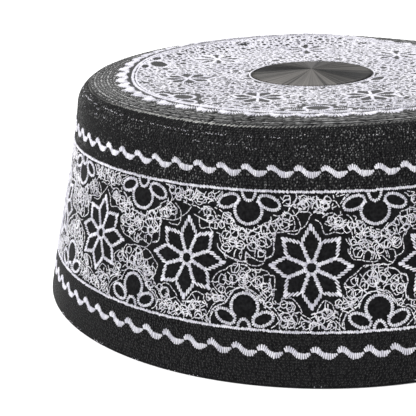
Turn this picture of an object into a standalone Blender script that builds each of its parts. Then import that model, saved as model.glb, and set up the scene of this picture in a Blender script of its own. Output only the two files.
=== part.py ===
"""Embroidered kufi: a stiff round cap with a flaring side band, a nearly flat quilted crown and
raised white embroidery.

Metres, +Z up. The rim stands on z = 0, the cap's axis is the Z axis and the front is at -Y.
Angles are turned about the axis from the front, positive towards +X.
"""
import math

import bpy
import numpy as np

# Main sizes of the cap
HEAD_ROUND = 0.580          # inside of the rim, measured round the head
WALL = 0.003                # quilted cloth, stiff embroidered layers
RIM_RADIUS = HEAD_ROUND / math.tau + WALL
SIDE_TOP_Z = 0.0669         # height where the side band starts to turn over the shoulder
SHOULDER_RADIUS = 0.0080
HEM_ROUNDING = 0.0008       # folded lower edge of the side band
CROWN_DISH = 0.0013         # the middle of the crown lies this much below its edge
SEAM_ANGLE = math.radians(66.0)   # place of the crown seam on the shoulder's arc, from level

# The side band leans in towards the top: radius over rim radius is
# 1 + LEAN t + WAIST t^2 + FLARE t^3 with t = height over rim radius
LEAN = -0.187
WAIST = -0.182
FLARE = 0.217

# The crown sits a little higher at the back than at the front
CROWN_TILT = 0.025
TILT_START_Z = 0.0591
TILT_FULL_Z = 0.0724

# Embroidery
SEAT_GAP = 0.0003           # thread pieces lie this far off the cloth
REPEATS = 15                # stars, and flowers of each row, round the side
STAR_Z = 0.0338
STAR_TIP_UPRIGHT = 0.0124
STAR_TIP_SLANTED = 0.0119
STAR_NOTCH = 0.0078
STAR_LINE = 0.0013
STAR_HUB = 0.0025
STAR_RELIEF = 0.0007
BORDER_LINE = 0.0008
BORDER_RELIEF = 0.0006
UPPER_BORDER_Z = 0.0544
LOWER_BORDER_Z = 0.0160
WAVE_RELIEF = 0.0009
UPPER_WAVE_Z = 0.0603
UPPER_WAVES = 70
UPPER_WAVE_TURN = math.radians(2.9)     # place of one crest from the front
LOWER_WAVE_Z = 0.0105
LOWER_WAVES = 78
LOWER_WAVE_TURN = math.radians(1.1)
WAVE_HEIGHT = 0.0030        # crest to trough of the wave's middle line
MEDALLION_RADIUS = 0.0211
MEDALLION_RELIEF = 0.0004
LACE_INNER = MEDALLION_RADIUS + SEAT_GAP
LACE_VALLEY = 0.0667
LACE_TIP = 0.0696
LACE_SCALLOPS = 52
LACE_RELIEF = 0.0007

RING_STEPS = 60             # flats round the side band and the crown
MEDALLION_STEPS = 30
OUTER_SECTIONS = (HEM_ROUNDING, 0.014, 0.028, 0.042, 0.055)   # heights of the side band's sections
INNER_SECTIONS = (0.034, HEM_ROUNDING)
SHARP_EDGE = math.radians(40.0)

# The two tables below are in mm
MM = 0.001

# One wave of the rickrack trim: place along the period, height (1 crest, -1 trough), width
WAVE_STATIONS = (
    (0.00, 1.0, 1.5),
    (0.38, -0.8, 1.9),
    (0.66, -1.0, 1.3),
)

# Outline of one flower's right half, from its root on the border to its tip:
# distance along the border, distance from the border
FLOWER_OUTLINE = (
    (7.2, 1.1),
    (9.4, 3.6),
    (7.0, 5.7),
    (4.1, 4.6),
    (4.1, 7.0),
    (2.1, 9.5),
)
FLOWER_ROOT = 0.0033        # half width of the root on the border
FLOWER_HEART = 0.0042       # distance of the fan's middle from the border

WHITE_THREAD = (0.80, 0.78, 0.85, 1.0)
BLACK_CLOTH = (0.022, 0.022, 0.021, 1.0)
BLACK_SATIN = (0.075, 0.073, 0.068, 1.0)


def clear_scene():
    for item in list(bpy.data.objects):
        bpy.data.objects.remove(item, do_unlink=True)


def material(name, colour, roughness):
    """A Principled cloth or thread."""
    made = bpy.data.materials.new(name)
    made.use_nodes = True
    shader = made.node_tree.nodes["Principled BSDF"]
    shader.inputs["Base Color"].default_value = colour
    shader.inputs["Roughness"].default_value = roughness
    shader.inputs["Metallic"].default_value = 0.0
    made.diffuse_color = colour
    return made


def side_radius(z):
    """Outer radius of the side band at a height."""
    t = np.asarray(z, dtype=float) / RIM_RADIUS
    return RIM_RADIUS * (1.0 + LEAN * t + WAIST * t ** 2 + FLARE * t ** 3)


def side_slope(z):
    """Change of the outer radius with height."""
    t = np.asarray(z, dtype=float) / RIM_RADIUS
    return LEAN + 2.0 * WAIST * t + 3.0 * FLARE * t ** 2


# The shoulder is an arc that leaves the side band and ends level at the crown
SHOULDER_START = math.atan(-float(side_slope(SIDE_TOP_Z)))
SHOULDER_R = float(side_radius(SIDE_TOP_Z)) - SHOULDER_RADIUS * math.cos(SHOULDER_START)
SHOULDER_Z = SIDE_TOP_Z - SHOULDER_RADIUS * math.sin(SHOULDER_START)
CROWN_Z = SHOULDER_Z + SHOULDER_RADIUS


def shoulder_point(angle, depth):
    """A profile point on the shoulder, at an angle from level and a depth under the outer face."""
    reach = SHOULDER_RADIUS - depth
    return (SHOULDER_R + reach * math.cos(angle), SHOULDER_Z + reach * math.sin(angle))


def crown_height(r):
    """Height of the crown's outer face: a shallow dish inside the shoulder."""
    return CROWN_Z - CROWN_DISH * (1.0 - (np.asarray(r, dtype=float) / SHOULDER_R) ** 2)


def settled(points):
    """Lets the crown lean: a point rises with its distance to the back, fully from the shoulder up."""
    points = np.array(points, dtype=float)
    share = np.clip((points[:, 2] - TILT_START_Z) / (TILT_FULL_Z - TILT_START_Z), 0.0, 1.0)
    share = share * share * (3.0 - 2.0 * share)
    points[:, 2] += CROWN_TILT * points[:, 1] * share
    return points


def around(radius, angle, z):
    """World points from radius, angle from the front and height."""
    radius, angle, z = np.broadcast_arrays(radius, angle, z)
    return np.stack([radius * np.sin(angle), -radius * np.cos(angle), z], axis=-1).reshape(-1, 3)


def on_side(angle, along, z, lift):
    """Points lying on the side band: a distance along it from an angle, a height and a lift."""
    z = np.asarray(z, dtype=float)
    radius = side_radius(z)
    lean = np.arctan(-side_slope(z))
    turned = angle + np.asarray(along) / radius
    return around(radius + lift * np.cos(lean), turned, z + lift * np.sin(lean))


def solid(name, points, faces, finish):
    """One named closed solid, smooth over its gentle turns."""
    mesh = bpy.data.meshes.new(name)
    mesh.from_pydata(settled(points).tolist(), [], faces)
    mesh.validate()
    mesh.shade_smooth()
    mesh.set_sharp_from_angle(angle=SHARP_EDGE)
    mesh.materials.append(finish)
    made = bpy.data.objects.new(name, mesh)
    bpy.context.scene.collection.objects.link(made)
    return made


def turned(name, profile, steps, finish):
    """A ring turned from a closed profile that runs up its outer side and down its inner side."""
    count = len(profile)
    radius, height = np.array(profile).T
    angle = np.arange(steps) * math.tau / steps
    points = around(radius[None, :], angle[:, None], height[None, :])
    faces = []
    for step in range(steps):
        here, there = step * count, (step + 1) % steps * count
        for place in range(count):
            after = (place + 1) % count
            faces.append((here + place, there + place, there + after, here + after))
    return solid(name, points, faces, finish)


def turned_disc(name, profile, steps, finish):
    """A disc turned from a profile that starts on the axis below and ends on the axis above."""
    rim = profile[1:-1]
    count = len(rim)
    radius, height = np.array(rim).T
    angle = np.arange(steps) * math.tau / steps
    points = around(radius[None, :], angle[:, None], height[None, :])
    below, above = steps * count, steps * count + 1
    points = np.vstack([points, (0.0, 0.0, profile[0][1]), (0.0, 0.0, profile[-1][1])])
    faces = []
    for step in range(steps):
        here, there = step * count, (step + 1) % steps * count
        faces.append((below, there, here))
        for place in range(count - 1):
            faces.append((here + place, there + place, there + place + 1, here + place + 1))
        faces.append((above, here + count - 1, there + count - 1))
    return solid(name, points, faces, finish)


def side_band(finish):
    """The side band: rim, leaning wall and the lower part of the shoulder, open inside."""
    seam = SEAM_ANGLE - SEAT_GAP / (SHOULDER_RADIUS - WALL) / 2.0
    halfway = (SHOULDER_START + seam) / 2.0
    profile = [(RIM_RADIUS - HEM_ROUNDING, 0.0)]
    for z in OUTER_SECTIONS:
        profile.append((float(side_radius(z)), z))
    for angle in (SHOULDER_START, halfway, seam):
        profile.append(shoulder_point(angle, 0.0))
    for angle in (seam, SHOULDER_START):
        profile.append(shoulder_point(angle, WALL))
    for z in INNER_SECTIONS:
        profile.append((float(side_radius(z)) - WALL, z))
    profile.append((RIM_RADIUS - WALL + HEM_ROUNDING, 0.0))
    return turned("side_band", profile, RING_STEPS, finish)


def crown_top(finish):
    """The crown: a dished disc whose edge turns down to the seam on the shoulder."""
    seam = SEAM_ANGLE + SEAT_GAP / (SHOULDER_RADIUS - WALL) / 2.0
    level = math.pi / 2.0
    profile = [(0.0, float(crown_height(0.0)) - WALL), (SHOULDER_R, CROWN_Z - WALL)]
    profile.append(shoulder_point(seam, WALL))
    for angle in (seam, (seam + level) / 2.0, level):
        profile.append(shoulder_point(angle, 0.0))
    for r in (LACE_VALLEY, MEDALLION_RADIUS, 0.0):
        profile.append((r, float(crown_height(r))))
    return turned_disc("crown_top", profile, RING_STEPS, finish)


def crown_medallion(finish):
    """The plain satin disc in the middle of the crown."""
    low = crown_height(MEDALLION_RADIUS) + SEAT_GAP
    profile = [
        (0.0, float(crown_height(0.0)) + SEAT_GAP),
        (MEDALLION_RADIUS, float(low)),
        (MEDALLION_RADIUS, float(low) + MEDALLION_RELIEF),
        (0.0, float(crown_height(0.0)) + SEAT_GAP + MEDALLION_RELIEF),
    ]
    return turned_disc("crown_medallion", profile, MEDALLION_STEPS, finish)


def crown_lace(finish):
    """The ring of lace embroidery on the crown, with its scalloped outer edge."""
    steps = 2 * LACE_SCALLOPS
    edge = np.where(np.arange(steps) % 2 == 0, LACE_VALLEY, LACE_TIP)
    angle = np.arange(steps) * math.tau / steps
    inner = np.full(steps, LACE_INNER)
    loops = []
    for radius, lift in ((inner, 0.0), (edge, 0.0), (edge, LACE_RELIEF), (inner, LACE_RELIEF)):
        loops.append(around(radius, angle, crown_height(radius) + SEAT_GAP + lift))
    faces = []
    for loop in range(4):
        low, high = loop * steps, (loop + 1) % 4 * steps
        for step in range(steps):
            after = (step + 1) % steps
            faces.append((low + step, low + after, high + after, high + step))
    return solid("crown_lace", np.vstack(loops), faces, finish)


def wave_trim(name, middle_z, waves, turn, finish):
    """Rickrack trim: a ridge that winds up and down round the side band."""
    table = np.array(WAVE_STATIONS)
    period = np.arange(waves)[:, None]
    along = ((period + table[None, :, 0]) / waves * math.tau + turn).ravel()
    height = np.tile(table[:, 1], waves) * WAVE_HEIGHT / 2.0
    half_width = np.tile(table[:, 2], waves) * MM / 2.0
    scale = float(side_radius(middle_z))
    ahead = np.mod(np.roll(along, -1) - np.roll(along, 1), math.tau) * scale
    rise = np.roll(height, -1) - np.roll(height, 1)
    length = np.hypot(ahead, rise)
    across_s, across_z = -rise / length, ahead / length
    rows = []
    for side, lift in ((-1.0, 0.0), (1.0, 0.0), (0.0, WAVE_RELIEF)):
        shift = side * half_width
        z = middle_z + height + across_z * shift
        rows.append(on_side(along, across_s * shift, z, SEAT_GAP + lift))
    count = len(along)
    faces = []
    for row, other in ((0, 2), (2, 1), (1, 0)):
        for step in range(count):
            after = (step + 1) % count
            faces.append((row * count + step, row * count + after,
                          other * count + after, other * count + step))
    return solid(name, np.vstack(rows), faces, finish)


def flower_outline():
    """One flower from its right root round to its left root: along and away from the border."""
    right = np.array(FLOWER_OUTLINE) * MM
    left = right[::-1] * (-1.0, 1.0)
    return np.vstack([right, left])


def border(name, border_z, side, finish):
    """A border line round the side band with its row of flowers; side is -1 below, 1 above it.

    The line has a station at both ends of each flower's root, and the flower takes the place of
    the line's edge face there, so line and flowers are one solid.
    """
    pitch = math.tau / REPEATS
    root = FLOWER_ROOT / float(side_radius(border_z))
    bare = pitch - 2.0 * root
    offsets = np.array([-root, root, root + bare / 3.0, root + 2.0 * bare / 3.0])
    middles = (np.arange(REPEATS) + 0.5) * pitch
    angle = (middles[:, None] + offsets[None, :]).ravel()
    count = len(angle)
    far = border_z - side * BORDER_LINE / 2.0
    near = border_z + side * BORDER_LINE / 2.0
    loops = []
    for z, lift in ((far, 0.0), (far, BORDER_RELIEF), (near, BORDER_RELIEF), (near, 0.0)):
        loops.append(on_side(angle, 0.0, np.full(count, z), SEAT_GAP + lift))
    points = list(np.vstack(loops))
    faces = []
    for loop in range(4):
        low, high = loop * count, (loop + 1) % 4 * count
        for step in range(count):
            if loop == 2 and step % 4 == 0:
                continue
            after = (step + 1) % count
            faces.append((low + step, high + step, high + after, low + after))
    outline = flower_outline()
    for repeat in range(REPEATS):
        left, right = 4 * repeat, 4 * repeat + 1
        first = len(points)
        for lift in (BORDER_RELIEF, 0.0):
            z = near + side * outline[:, 1]
            points.extend(on_side(middles[repeat], outline[:, 0], z, SEAT_GAP + lift))
            heart_z = np.array([near + side * FLOWER_HEART])
            points.extend(on_side(middles[repeat], 0.0, heart_z, SEAT_GAP + lift))
        steps = len(outline)
        top = [2 * count + right] + list(range(first, first + steps)) + [2 * count + left]
        under = [3 * count + right]
        under += list(range(first + steps + 1, first + 2 * steps + 1)) + [3 * count + left]
        top_heart, under_heart = first + steps, first + 2 * steps + 1
        for place in range(len(top) - 1):
            faces.append((top[place], top_heart, top[place + 1]))
            faces.append((under[place + 1], under_heart, under[place]))
            faces.append((top[place], top[place + 1], under[place + 1], under[place]))
        faces.append((top[-1], top_heart, top[0]))
        faces.append((under[0], under_heart, under[-1]))
    if side > 0:
        faces = [tuple(reversed(face)) for face in faces]
    return solid(name, points, faces, finish)


def star(name, angle, finish):
    """An openwork star of eight kite-shaped petals round a hub, with a slit of cloth in each."""
    petals = np.arange(8)
    direction = petals * math.tau / 8.0
    between = direction + math.tau / 16.0
    tip = np.where(petals % 2 == 0, STAR_TIP_UPRIGHT, STAR_TIP_SLANTED)
    reach = tip - STAR_NOTCH * math.cos(math.tau / 16.0)
    point_angle = np.arctan(STAR_NOTCH * math.sin(math.tau / 16.0) / reach)
    slit_tip = tip - STAR_LINE / np.sin(point_angle)
    spoke_angle = math.tau / 16.0 + point_angle
    half = STAR_LINE / 2.0
    slit_side = STAR_NOTCH + (half * np.cos(spoke_angle) - STAR_LINE) / np.sin(spoke_angle)

    def flat(radius, turn, shift):
        """A point at a radius on a ray, shifted at right angles to it."""
        return np.stack([radius * np.sin(turn) + shift * np.cos(turn),
                         radius * np.cos(turn) - shift * np.sin(turn)], axis=-1)

    rings = [
        flat(tip, direction, 0.0),
        flat(np.full(8, STAR_NOTCH), between, 0.0),
        flat(slit_tip, direction, 0.0),
        flat(slit_side, between, -half),
        flat(slit_side, between - math.tau / 8.0, half),
        flat(np.full(8, STAR_HUB), direction, 0.0),
    ]
    plan = np.vstack(rings)
    points = []
    for lift in (STAR_RELIEF, 0.0):
        points.append(on_side(angle, plan[:, 0], STAR_Z + plan[:, 1], SEAT_GAP + lift))
    under = len(plan)
    tips, notches, slit_tips, slit_rights, slit_lefts, hubs = (np.arange(8) + 8 * i for i in range(6))
    faces = []
    edges = []
    for i in range(8):
        after = (i + 1) % 8
        before = (i - 1) % 8
        faces.append((tips[i], slit_tips[i], slit_rights[i], notches[i]))
        faces.append((slit_tips[i], tips[i], notches[before], slit_lefts[i]))
        faces.append((notches[i], slit_rights[i], slit_lefts[after]))
        faces.append((slit_rights[i], hubs[i], hubs[after], slit_lefts[after]))
        edges += [(tips[i], notches[i]), (notches[before], tips[i])]
        edges += [(slit_rights[i], slit_tips[i]), (hubs[i], slit_rights[i])]
        edges += [(slit_lefts[i], hubs[i]), (slit_tips[i], slit_lefts[i])]
    faces.append(tuple(hubs[::-1]))
    all_faces = []
    for face in faces:
        face = tuple(int(i) for i in face)
        all_faces.append(face)
        all_faces.append(tuple(under + i for i in reversed(face)))
    for start, end in edges:
        start, end = int(start), int(end)
        all_faces.append((start, end, under + end, under + start))
    return solid(name, np.vstack(points), all_faces, finish)


def build():
    clear_scene()
    cloth = material("quilted_black_cloth", BLACK_CLOTH, 0.75)
    satin = material("black_satin", BLACK_SATIN, 0.45)
    thread = material("white_satin_thread", WHITE_THREAD, 0.50)
    side_band(cloth)
    crown_top(cloth)
    crown_medallion(satin)
    crown_lace(thread)
    wave_trim("upper_wave_trim", UPPER_WAVE_Z, UPPER_WAVES, UPPER_WAVE_TURN, thread)
    wave_trim("lower_wave_trim", LOWER_WAVE_Z, LOWER_WAVES, LOWER_WAVE_TURN, thread)
    border("upper_border_and_flowers", UPPER_BORDER_Z, -1, thread)
    border("lower_border_and_flowers", LOWER_BORDER_Z, 1, thread)
    for number in range(REPEATS):
        star(f"star_{number + 1:02d}", number * math.tau / REPEATS, thread)


build()
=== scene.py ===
# %% [markdown]
# # A round embroidered cap, the kufi
# The real cap is stiff black cloth, quilted in close rows, under raised white machine embroidery.
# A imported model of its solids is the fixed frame. This lesson dresses it: fine cloth shells take the
# place of the faceted walls, and every stitch that the eye can follow is a small mesh. Lengths are
# metres in the world, and millimetres on the flat charts that the embroidery is drawn on.

# %% Load the fixed frame
import math
from collections import namedtuple

import bpy
import numpy as np
from mathutils import Matrix, Vector


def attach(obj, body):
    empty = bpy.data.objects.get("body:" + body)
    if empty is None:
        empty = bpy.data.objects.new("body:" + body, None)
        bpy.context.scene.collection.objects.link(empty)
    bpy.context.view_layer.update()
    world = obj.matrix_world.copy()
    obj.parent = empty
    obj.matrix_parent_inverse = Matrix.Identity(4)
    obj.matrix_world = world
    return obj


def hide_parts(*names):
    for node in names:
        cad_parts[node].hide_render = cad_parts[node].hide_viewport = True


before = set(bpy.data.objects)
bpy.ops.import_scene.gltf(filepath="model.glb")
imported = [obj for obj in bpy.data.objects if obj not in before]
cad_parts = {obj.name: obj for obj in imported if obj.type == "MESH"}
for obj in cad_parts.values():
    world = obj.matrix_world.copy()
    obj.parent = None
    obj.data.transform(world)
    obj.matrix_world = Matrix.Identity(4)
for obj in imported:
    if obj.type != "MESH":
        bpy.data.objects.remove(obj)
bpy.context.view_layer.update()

# %% [markdown]
# ## The shape of the cap
# The cap is turned about the Z axis. Its side leans in towards the top along a gentle S, a small
# round shoulder follows, and the crown is a shallow dish that sits a little higher at the back. A
# drawn outline with a Screw modifier could carry the form. Here it is a formula, because every
# stitch has to find its place and its way out from the cloth on the same surface. The sizes are the
# frame's own, with the places where the real crown has bulged or settled.

# %% Driving sizes
MM = 0.001
TAU = math.tau
HEAD_ROUND = 0.580                 # inside of the rim, measured round the head
WALL = 0.003
RIM_RADIUS = HEAD_ROUND / TAU + WALL
SIDE_TOP_Z = 0.0669
SHOULDER_RADIUS = 0.0080
HEM_ROUNDING = 0.0008
CROWN_DISH = 0.0013
SEAM_ANGLE = math.radians(66.0)    # the crown seam's place on the shoulder, from level
LEAN, WAIST, FLARE = -0.187, -0.182, 0.217
CROWN_TILT, TILT_START_Z, TILT_FULL_Z = 0.025, 0.0591, 0.0724
BACK_RISE, BACK_TURN = 0.0020, math.radians(216.0)      # the lace's edge bulges up behind
BACK_EDGE, BACK_CORE = 0.25, 0.85                       # cosines where the bulge starts and is full
RISE_INNER, RISE_FROM = 0.0480, 0.0630                  # radii between which the bulge climbs
RISE_TO, RISE_OUTER = 0.0640, 0.0745                    # and between which it falls again
RIGHT_SINK, RIGHT_TURN = 0.0013, math.radians(125.0)    # the crown's edge dips on the right
RIGHT_EDGE, RIGHT_CORE = 0.55, 1.0                      # cosines where the dip starts and is full
SINK_FROM, SINK_FULL = 0.050, 0.070
MIDDLE_SINK, MIDDLE_FULL, MIDDLE_END = 0.00045, 0.018, 0.038   # its middle has settled
MEDALLION_RADIUS = 0.0211
MEDALLION_SHIFT = 0.0006           # it was sewn on a little to the right
MEDALLION_MOUND = 0.0016           # where all its threads meet they pile up

# %% Profile of the cap
SIDE_STEPS = 400


def side_radius(z):
    """Radius of the side at a height: R (1 + a t + b t^2 + c t^3) with t = height over R."""
    t = z / RIM_RADIUS
    return RIM_RADIUS * (1.0 + LEAN * t + WAIST * t ** 2 + FLARE * t ** 3)


TOP = SIDE_TOP_Z / RIM_RADIUS
SHOULDER_START = math.atan(-(LEAN + 2.0 * WAIST * TOP + 3.0 * FLARE * TOP ** 2))   # from level
SHOULDER_R = side_radius(SIDE_TOP_Z) - SHOULDER_RADIUS * math.cos(SHOULDER_START)
SHOULDER_Z = SIDE_TOP_Z - SHOULDER_RADIUS * math.sin(SHOULDER_START)
CROWN_Z = SHOULDER_Z + SHOULDER_RADIUS


def crown_height(r):
    """Height of the crown: the dish falls with the square of the way in from the shoulder."""
    return CROWN_Z - CROWN_DISH * (1.0 - (r / SHOULDER_R) ** 2)


def profile_curve():
    """The outer profile from hem to middle: the side's formula, then an arc, then the dish.

    Returns the way walked along the cloth, the radius, the height and the outward normal, which is
    the profile's direction turned by a right angle.
    """
    z = np.linspace(0.0, SIDE_TOP_Z, SIDE_STEPS)
    arc = np.linspace(SHOULDER_START, math.pi / 2.0, 90)[1:]
    r = np.linspace(SHOULDER_R, 0.0, 300)[1:]
    radius = np.concatenate([side_radius(z), SHOULDER_R + SHOULDER_RADIUS * np.cos(arc), r])
    height = np.concatenate([z, SHOULDER_Z + SHOULDER_RADIUS * np.sin(arc), crown_height(r)])
    walk = np.concatenate([[0.0], np.cumsum(np.hypot(np.diff(radius), np.diff(height)))])
    run, rise = np.gradient(radius, walk), np.gradient(height, walk)
    length = np.hypot(run, rise)
    return walk, radius, height, rise / length, -run / length


WALK, RADIUS, HEIGHT, NORMAL_R, NORMAL_Z = profile_curve()


def profile(walk, depth=0.0):
    """Radius and height at a walk up the cloth, moved a depth inwards along the normal."""
    return (np.interp(walk, WALK, RADIUS) - depth * np.interp(walk, WALK, NORMAL_R),
            np.interp(walk, WALK, HEIGHT) - depth * np.interp(walk, WALK, NORMAL_Z))


def walk_at_height(z):
    """The walk on the side at a height, read from the profile."""
    return np.interp(z, HEIGHT[:SIDE_STEPS], WALK[:SIDE_STEPS])


def walk_at_radius(r):
    """The walk on the crown at a distance from the axis, read from the profile backwards."""
    return np.interp(r, RADIUS[::-1], WALK[::-1])


SIDE_WALK = float(walk_at_height(SIDE_TOP_Z))
SEAM_WALK = SIDE_WALK + SHOULDER_RADIUS * (SEAM_ANGLE - SHOULDER_START)
print("walk from hem to seam", round(SEAM_WALK, 4), "to the middle", round(float(WALK[-1]), 4))

# %% [markdown]
# ## Laying flat charts on the cap
# Embroidery is designed flat. It could be modelled flat and pressed on by a Shrinkwrap modifier,
# but that pulls the motifs out of shape on the lean and over the shoulder. So one function puts a
# place on the cloth, given as a turn about the axis and a walk up the profile, into the world.
# Three charts use it: one is wrapped round the side like a label, one lies on the crown and one
# follows a row round the cap.


# %% Charts
def eased(value, start, full):
    """A share from 0 to 1 that runs smoothly from a start to a full value."""
    share = np.clip((value - start) / (full - start), 0.0, 1.0)
    return share * share * (3.0 - 2.0 * share)


def settled(points):
    """The crown leans: a point rises by the tilt times its way to the back, eased in with height.

    Behind, the lace's edge bulges up: by the rise, times an easing up and one down again over the
    radius, times an easing round the cap. On the right the edge dips in the same way, and so does
    the crown's middle.
    """
    x, y, z = points[..., 0], points[..., 1], points[..., 2]
    turn, far = np.arctan2(x, -y), np.hypot(x, y)
    bulge = eased(far, RISE_INNER, RISE_FROM) * (1.0 - eased(far, RISE_TO, RISE_OUTER))
    rise = BACK_RISE * bulge * eased(np.cos(turn - BACK_TURN), BACK_EDGE, BACK_CORE)
    right = eased(np.cos(turn - RIGHT_TURN), RIGHT_EDGE, RIGHT_CORE)
    dip = RIGHT_SINK * eased(far, SINK_FROM, SINK_FULL) * right
    dip = dip + MIDDLE_SINK * (1.0 - eased(far, MIDDLE_FULL, MIDDLE_END))
    points[..., 2] += (CROWN_TILT * y + rise - dip) * eased(z, TILT_START_Z, TILT_FULL_Z)
    return points


def around(turn, radius, height):
    """World points turned about Z from the front: x = r sin(turn), y = -r cos(turn), then settled."""
    radius, turn, height = np.broadcast_arrays(radius, turn, height)
    return settled(np.stack([radius * np.sin(turn), -radius * np.cos(turn), height], axis=-1))


def on_cap(turn, walk, lift):
    """World points: the profile's point at a walk, lifted along its normal, turned about Z."""
    return around(turn, *profile(walk, -lift))


CHART_RADIUS = side_radius(0.0355)     # the side chart has its true width at this height
CHART_ROUND = TAU * CHART_RADIUS / MM


def side_chart(turn, height):
    """A chart in mm wrapped round the side: x is a turn times the chart's radius, y is up."""
    def place(x, y, lift):
        return on_cap(turn + x * MM / CHART_RADIUS, walk_at_height(height + y * MM), lift)
    return place


def crown_chart(turn, reach):
    """A chart in mm flat on the crown: its origin lies at a reach from the axis, y runs inwards."""
    def place(x, y, lift):
        across, out = x * MM, reach - y * MM
        return on_cap(turn + np.arctan2(across, out), walk_at_radius(np.hypot(across, out)), lift)
    return place


def row_chart(radius):
    """A chart in mm for rows: x is a turn times a radius, y is the walk up the cloth."""
    def place(x, y, lift):
        return on_cap(x * MM / radius, y * MM, lift)
    return place


print("side chart is", round(CHART_ROUND, 1), "mm round")

# %% [markdown]
# ## Meshes from arrays
# A mesh could be built face by face with bmesh, which reads well but is slow for some eight hundred
# thousand triangles. So every piece is computed as whole arrays and written to its mesh in one go,
# with one array of triangles and one of quads. A tone, one random number for each stitch, goes
# along as an attribute, so that the thread's material can make neighbouring stitches a little
# lighter or darker.

# %% Mesh helper
Finish = namedtuple("Finish", "material slot")


def scene_object(name, data):
    """A new object in the scene, at the origin."""
    made = bpy.data.objects.new(name, data)
    bpy.context.scene.collection.objects.link(made)
    return made


def mesh_piece(name, points, triangles, quads, finish, node=None, tone=None, uv=None):
    """Makes one piece from arrays. It replaces the frame's node, where one is named."""
    corners = np.concatenate([triangles.ravel(), quads.ravel()]).astype(np.int32)
    starts = np.concatenate([np.arange(len(triangles)) * 3, len(triangles) * 3 + np.arange(len(quads)) * 4])
    mesh = bpy.data.meshes.new(name)
    mesh.vertices.add(len(points))
    mesh.vertices.foreach_set("co", points.astype(np.float32).ravel())
    mesh.loops.add(len(corners))
    mesh.loops.foreach_set("vertex_index", corners)
    mesh.polygons.add(len(starts))
    mesh.polygons.foreach_set("loop_start", starts.astype(np.int32))
    mesh.update(calc_edges=True)
    mesh.shade_smooth()
    if tone is not None:
        mesh.attributes.new("tone", "FLOAT", "POINT").data.foreach_set("value", tone.astype(np.float32))
    if uv is not None:
        mesh.uv_layers.new(name="cloth").data.foreach_set("uv", uv.astype(np.float32).ravel())
    mesh.materials.append(finish.material)
    piece = scene_object(name, mesh)
    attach(piece, "root")
    if node:
        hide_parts(node)
    print(name, len(triangles) + 2 * len(quads), "triangles")


# %% [markdown]
# ## One stitch
# A satin stitch is a strand of thread that comes up through the cloth, crosses a line and goes down
# again. A curve with a bevel could make one, but there are tens of thousands. So a stitch here is
# eight points: two ends that dive into the cloth and two three-cornered sections between them.
# Shorter black stitches get by with one section in the middle, and the fine running stitches of
# the filigree are plain three-cornered bars. A few helpers for flat points come first.


# %% Flat points
def pair(x, y):
    """Flat points from their x and y."""
    return np.stack([x, y], axis=-1)


def polar(angle, reach):
    """Flat points at a reach from the origin, at an angle from +x, anticlockwise."""
    return pair(reach * np.cos(angle), reach * np.sin(angle))


def clockwise(angle, reach, up=1.0):
    """Flat points at an angle from +y, clockwise, or from -y and anticlockwise with up at -1."""
    return pair(reach * np.sin(angle), up * reach * np.cos(angle))


def turned(points, angle):
    """Flat points turned anticlockwise about the origin."""
    c, s = math.cos(angle), math.sin(angle)
    return pair(points[..., 0] * c - points[..., 1] * s, points[..., 0] * s + points[..., 1] * c)


def shaken(points, wander, rng):
    """Points moved at random by a normal spread of so many mm."""
    return points + wander * rng.standard_normal(points.shape)


def unit(vectors):
    """Each vector over its length."""
    return vectors / np.maximum(np.linalg.norm(vectors, axis=1), 1e-9)[:, None]


def leftwards(vectors):
    """Each vector turned left by a right angle."""
    return pair(-vectors[:, 1], vectors[:, 0])


# %% Stitch forms
Form = namedtuple("Form", "points triangles quads")


def section(share):
    """A section at a share of the way. Columns: the share, half widths to the side, heights up."""
    return [(share, 1.0, 0.0), (share, 0.0, 1.0), (share, -1.0, 0.0)]


DIVE = [(0, 2, 1), (0, 3, 2), (0, 1, 3)]     # faces from the first end to its section
LONG_STITCH = Form(
    np.array([(0.0, 0.0, -0.3), *section(0.13), *section(0.87), (1.0, 0.0, -0.3)]),
    np.array(DIVE + [(5, 7, 4), (6, 7, 5), (4, 7, 6)]),
    np.array([(2, 5, 4, 1), (3, 6, 5, 2), (1, 4, 6, 3)]))
SHORT_STITCH = Form(
    np.array([(0.0, 0.0, -0.2), *section(0.5), (1.0, 0.0, -0.2)]),
    np.array(DIVE + [(2, 4, 1), (3, 4, 2), (1, 4, 3)]),
    np.zeros((0, 4), dtype=int))
BAR_STITCH = Form(
    np.array(section(0.0) + section(1.0)),
    np.array([(1, 0, 2), (3, 4, 5)]),
    np.array([(1, 4, 3, 0), (2, 5, 4, 1), (0, 3, 5, 2)]))


def stitches(start, end, width, height, place, rng, form=LONG_STITCH):
    """Stitches from start to end on a chart, both (count, 2) in mm: their points and tones.

    A point of the form lies at start + share (end - start), moved sideways by its half widths and
    lifted by its heights, and the chart then lays it on the cap.
    """
    way = end - start
    half = unit(leftwards(way)) * np.broadcast_to(width, len(start))[:, None] / 2.0
    share, out, up = form.points.T
    flat = start[:, None] + share[:, None] * way[:, None] + out[:, None] * half[:, None]
    points = place(flat[..., 0], flat[..., 1], up * height * MM)
    return points.reshape(-1, 3), np.repeat(rng.uniform(0.0, 1.0, len(start)), len(up))


def stitched_piece(name, blocks, finish, form=LONG_STITCH, node=None):
    """Joins blocks of stitches into one object: the form's faces are repeated for each stitch."""
    points, tone = (np.concatenate(arrays) for arrays in zip(*blocks))
    first = np.arange(0, len(points), len(form.points))[:, None, None]
    mesh_piece(name, points, (form.triangles + first).reshape(-1, 3), (form.quads + first).reshape(-1, 4),
               finish, node, tone)


print("forms have", [len(f.triangles) + 2 * len(f.quads) for f in (LONG_STITCH, SHORT_STITCH, BAR_STITCH)])

# %% [markdown]
# ## Lines of stitches
# The machine follows a drawn line and throws its thread across it, which is satin, or pricks along
# it, which is running stitch. An Array modifier on a curve could repeat one stitch, but all would
# come out alike. Here each line gives arrays of starts and ends, so every stitch can stray.

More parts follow.
